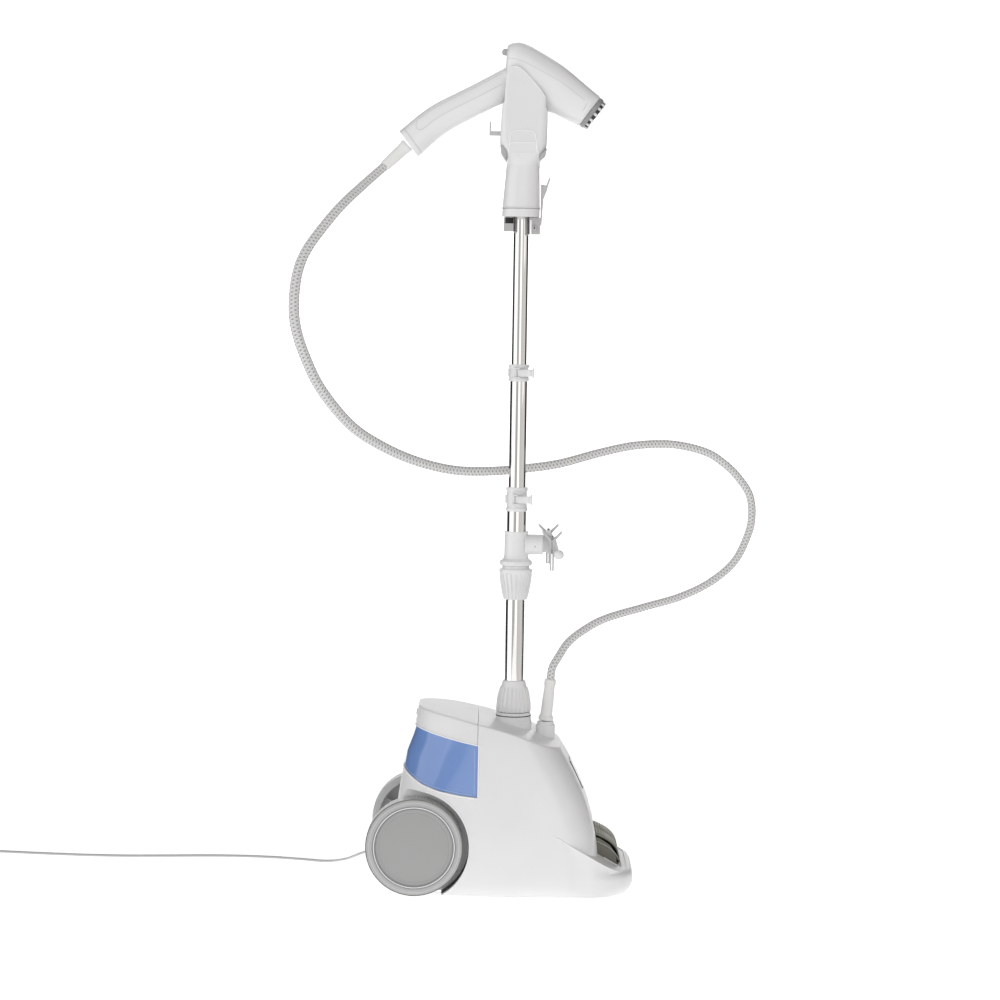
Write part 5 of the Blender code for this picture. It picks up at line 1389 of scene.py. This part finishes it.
def makeHandset():
    head, grip = (loft(name, [ellipse(sectionAt(sections, t), power=handsetLook["squareness"])
                              for t in np.linspace(0, 1, 60)], "glossWhite")
                  for name, sections in (("headForm", headSections), ("gripForm", gripSections)))
    face, lean = Vector((-0.0091, 0, 1.2195)), math.radians(-86)
    inward = Vector((-math.sin(lean), 0, -math.cos(lean)))
    carve(head, [cylinder("buttonPocket", face - inward * 0.01, face + inward * 0.0058, 0.0056)], [grip])
    melt(head, handsetLook["voxel"], handsetLook["relax"])
    # end ring of the head, a pale grey bead behind it as painted shade in its gap, and the shell's seam
    # lines on both sides in pale grey: painted shade in the seams
    trims = [head, bead("mouthLip", ellipse(sectionAt(headSections, 0.985), margin=0.0003), 0.0009,
        closed=True), bead("mouthGroove", ellipse(sectionAt(headSections, 0.955), margin=-0.0001), 0.0005,
        "seamLight", True)]
    for side in (-1, 1):
        line = [onSide(sectionAt(headSections, t), 1 - 0.36, side * math.sqrt(1 - 0.28 ** 2))
                for t in np.linspace(0.14, 0.93, 60)]
        trims.append(bead("headSeam", onSkin(head, line, side), 0.00034, "seamLight"))
        upper, lower = ([onSide(sectionAt(gripSections, t), share, side) for t in np.linspace(0.42, 0.9, 40)]
                        for share in (0.86, 0.54))
        turn = [upper[-1].lerp(lower[-1], k / 5) + Vector((-0.004, 0, -0.004)) * math.sin(math.pi * k / 5)
                for k in range(1, 5)]
        trims.append(bead("gripSeam", onSkin(head, upper + turn + lower[::-1], side), 0.00036, "seamLight"))
    # a pale grey ring at the grip's end: painted shade in its seam
    end = ellipse(sectionAt(gripSections, 0.972), margin=0.0001, power=handsetLook["squareness"])
    trims.append(bead("gripEnd", end, 0.0005, "seamLight", closed=True))
    place(joined("handsetBody", trims), "handset", "white_plastic", "handset_shell")
    # strain relief at the grip's end
    start, tip = Vector((-0.15, 0, 1.0845)), Vector((-0.1847, 0, 1.0516))
    out, length = (tip - start).normalized(), (tip - start).length
    boot = lathe("handsetBoot", [(0, 0.0012), (0.0096, 0.0012), (0.0098, 0.006), (0.009, 0.012),
        (0.0086, length * 0.6), (0.008, length - 0.002), (0.0074, length), (0, length)], along(start, out),
        "creamPlastic", 56, edge=0.001)
    ring = lathe("bootRing", [(0.0085, 0), (0.0105, 0), (0.0105, 0.003), (0.0085, 0.003)],
                 along(start + out * 0.003, out), steps=56, closed=True, edge=0.0005, edgeSteps=2)
    place(joined("gripRelief", [boot, ring]), "handset", "white_plastic", "handset_boot")
    makeNozzle()
    button = lathe("buttonCap", [(0, -0.002), (0.005, -0.002), (0.005, 0.002), (0.0044, 0.0048),
                                 (0.0026, 0.0063), (0, 0.0066)],
                   Matrix.Translation(face) @ Matrix.Rotation(lean, 4, "Y"), "rimPlastic", 48, edge=0.001)
    place(button, "steam_button", "wheel_grey", "steam_button")
    print("handset made")


def onSkin(obj, line, side):
    # drops a line onto a piece's surface from its side
    tree = skinTree(obj)
    hits = [sideHit(tree, point.x, point.z, side, 0.06) for point in line]
    return [hit for hit in hits if hit]


nozzleLook = {"centre": (0.1138, 0, 1.13575), "out": (0.0417, 0, -0.0312), "prongs": 14,
              "holes": ((0.004, 6), (0.004 + 0.0048, 12), (0.004 + 0.0048 * 2, 18))}


def makeNozzle():
    out = Vector(nozzleLook["out"]).normalized()
    stand = along(Vector(nozzleLook["centre"]) + out * 0.0003, out)
    ring = lathe("nozzleCollar", [(0.015, 0), (0.0256, 0), (0.0254, 0.0058), (0.024, 0.0068),
        (0.0205, 0.0068), (0.0205, 0.0035), (0.015, 0.0035)], stand, "nozzleGrey", 80, closed=True,
        edge=0.0004, edgeSteps=2)
    # a dark ring between collar and prongs: painted shade
    gap = lathe("nozzleGap", [(0.0206, 0.005), (0.0228, 0.005), (0.0224, 0.0112), (0.0206, 0.0112)], stand,
                "darkGap", 80, closed=True)
    prongs = grow("nozzleProngs", ribs, "nozzleGrey", stand @ Matrix.Translation((0, 0, 0.009)),
                  Count=nozzleLook["prongs"], Radius=0.0226, Size=(0.0036, 0.0044, 0.0086))
    place(joined("nozzleRing", [ring, gap, prongs]), "handset", "grey_plastic", "nozzle_ring")
    sole = lathe("soleFace", [(0, 0.004), (0.0201, 0.004), (0.0201, 0.0098), (0.0175, 0.012),
        (0.012, 0.012), (0.0115, 0.0114), (0.0105, 0.0114), (0.01, 0.012), (0, 0.012)], stand, "chrome", 80,
        edge=0.0006)
    # steam holes as dark discs: painted shade in the openings
    spots = [(radius * math.cos(2 * math.pi * k / count), radius * math.sin(2 * math.pi * k / count),
        0.01165) for radius, count in nozzleLook["holes"] for k in range(count)]
    holes = grow("soleHoles", studs, "darkGap", stand, points=spots, Radius=0.0009, Depth=0.0008)
    place(joined("steamPlate", [sole, holes]), "handset", "chrome", "soleplate")


def makeBoot():
    # strain relief on the base, from its stepped foot to the hose
    start, tip = Vector((inlet["x"], 0, inlet["top"])), Vector((0.0706, 0, 0.301))
    out, length = (tip - start).normalized(), (tip - start).length
    relief = lathe("hoseRelief", [(0, 0.0012), (0.0108, 0.0012), (0.011, 0.006), (0.0093, 0.0085),
        (0.0088, 0.01), (0.0084, length * 0.5), (0.0076, length - 0.01), (0.0084, length - 0.0085),
        (0.0084, length - 0.002), (0.0078, length), (0, length)], along(start, out), "creamPlastic", 64,
        edge=0.001)
    place(relief, "root", "white_plastic", "hose_boot")


# ---- CAD nodes that stay, with their finishes
kept = {
    "base_plate": "greyPlastic", "right_foot": "rubber", "left_foot": "rubber", "axle": "steel",
    "pedal_shaft": "steel", "right_pedal_spring": "steel", "left_pedal_spring": "steel",
    "pedal_switches": "blackPlastic", "boiler": "castAluminium", "feed_tube": "leadPlastic",
    "steam_pipe": "brass", "control_board": "blackPlastic", "display_window": "blackPlastic",
    "pole_socket": "whitePlastic", "tank_valve": "greyPlastic", "valve_seat": "greyPlastic",
    "plug_blade_left": "brass", "plug_blade_right": "brass",
}


def dressNodes():
    for name, finish in kept.items():
        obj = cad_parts[name]
        if obj.material_slots:
            for slotItem in obj.material_slots:
                slotItem.material = materials[finish]
        else:
            obj.data.materials.append(materials[finish])
    print("kept nodes dressed:", len(kept))


makeMaterials()
makeStudio()
makeHose()
makeLead()
ribs, beads, studs = ribTree(), beadTree(), studTree()
makeHousing()
makeTrim()
makeTank()
makeWheels()
makePedals()
makePole()
makeClamp("lowerClamp", 0.5497, 0.5852, pole["lower"], pole["middle"], 0.556, 0.0155, "root", "lower_lever",
          "lower_clamp")
makeClamp("upperClamp", 0.7412, 0.7655, pole["middle"], pole["upper"], 0.746, 0.0145, "pole_middle",
          "upper_lever", "upper_clamp")
makeCollar()
makeHanger()
makeCradle()
makeHandset()
makeBoot()
dressNodes()
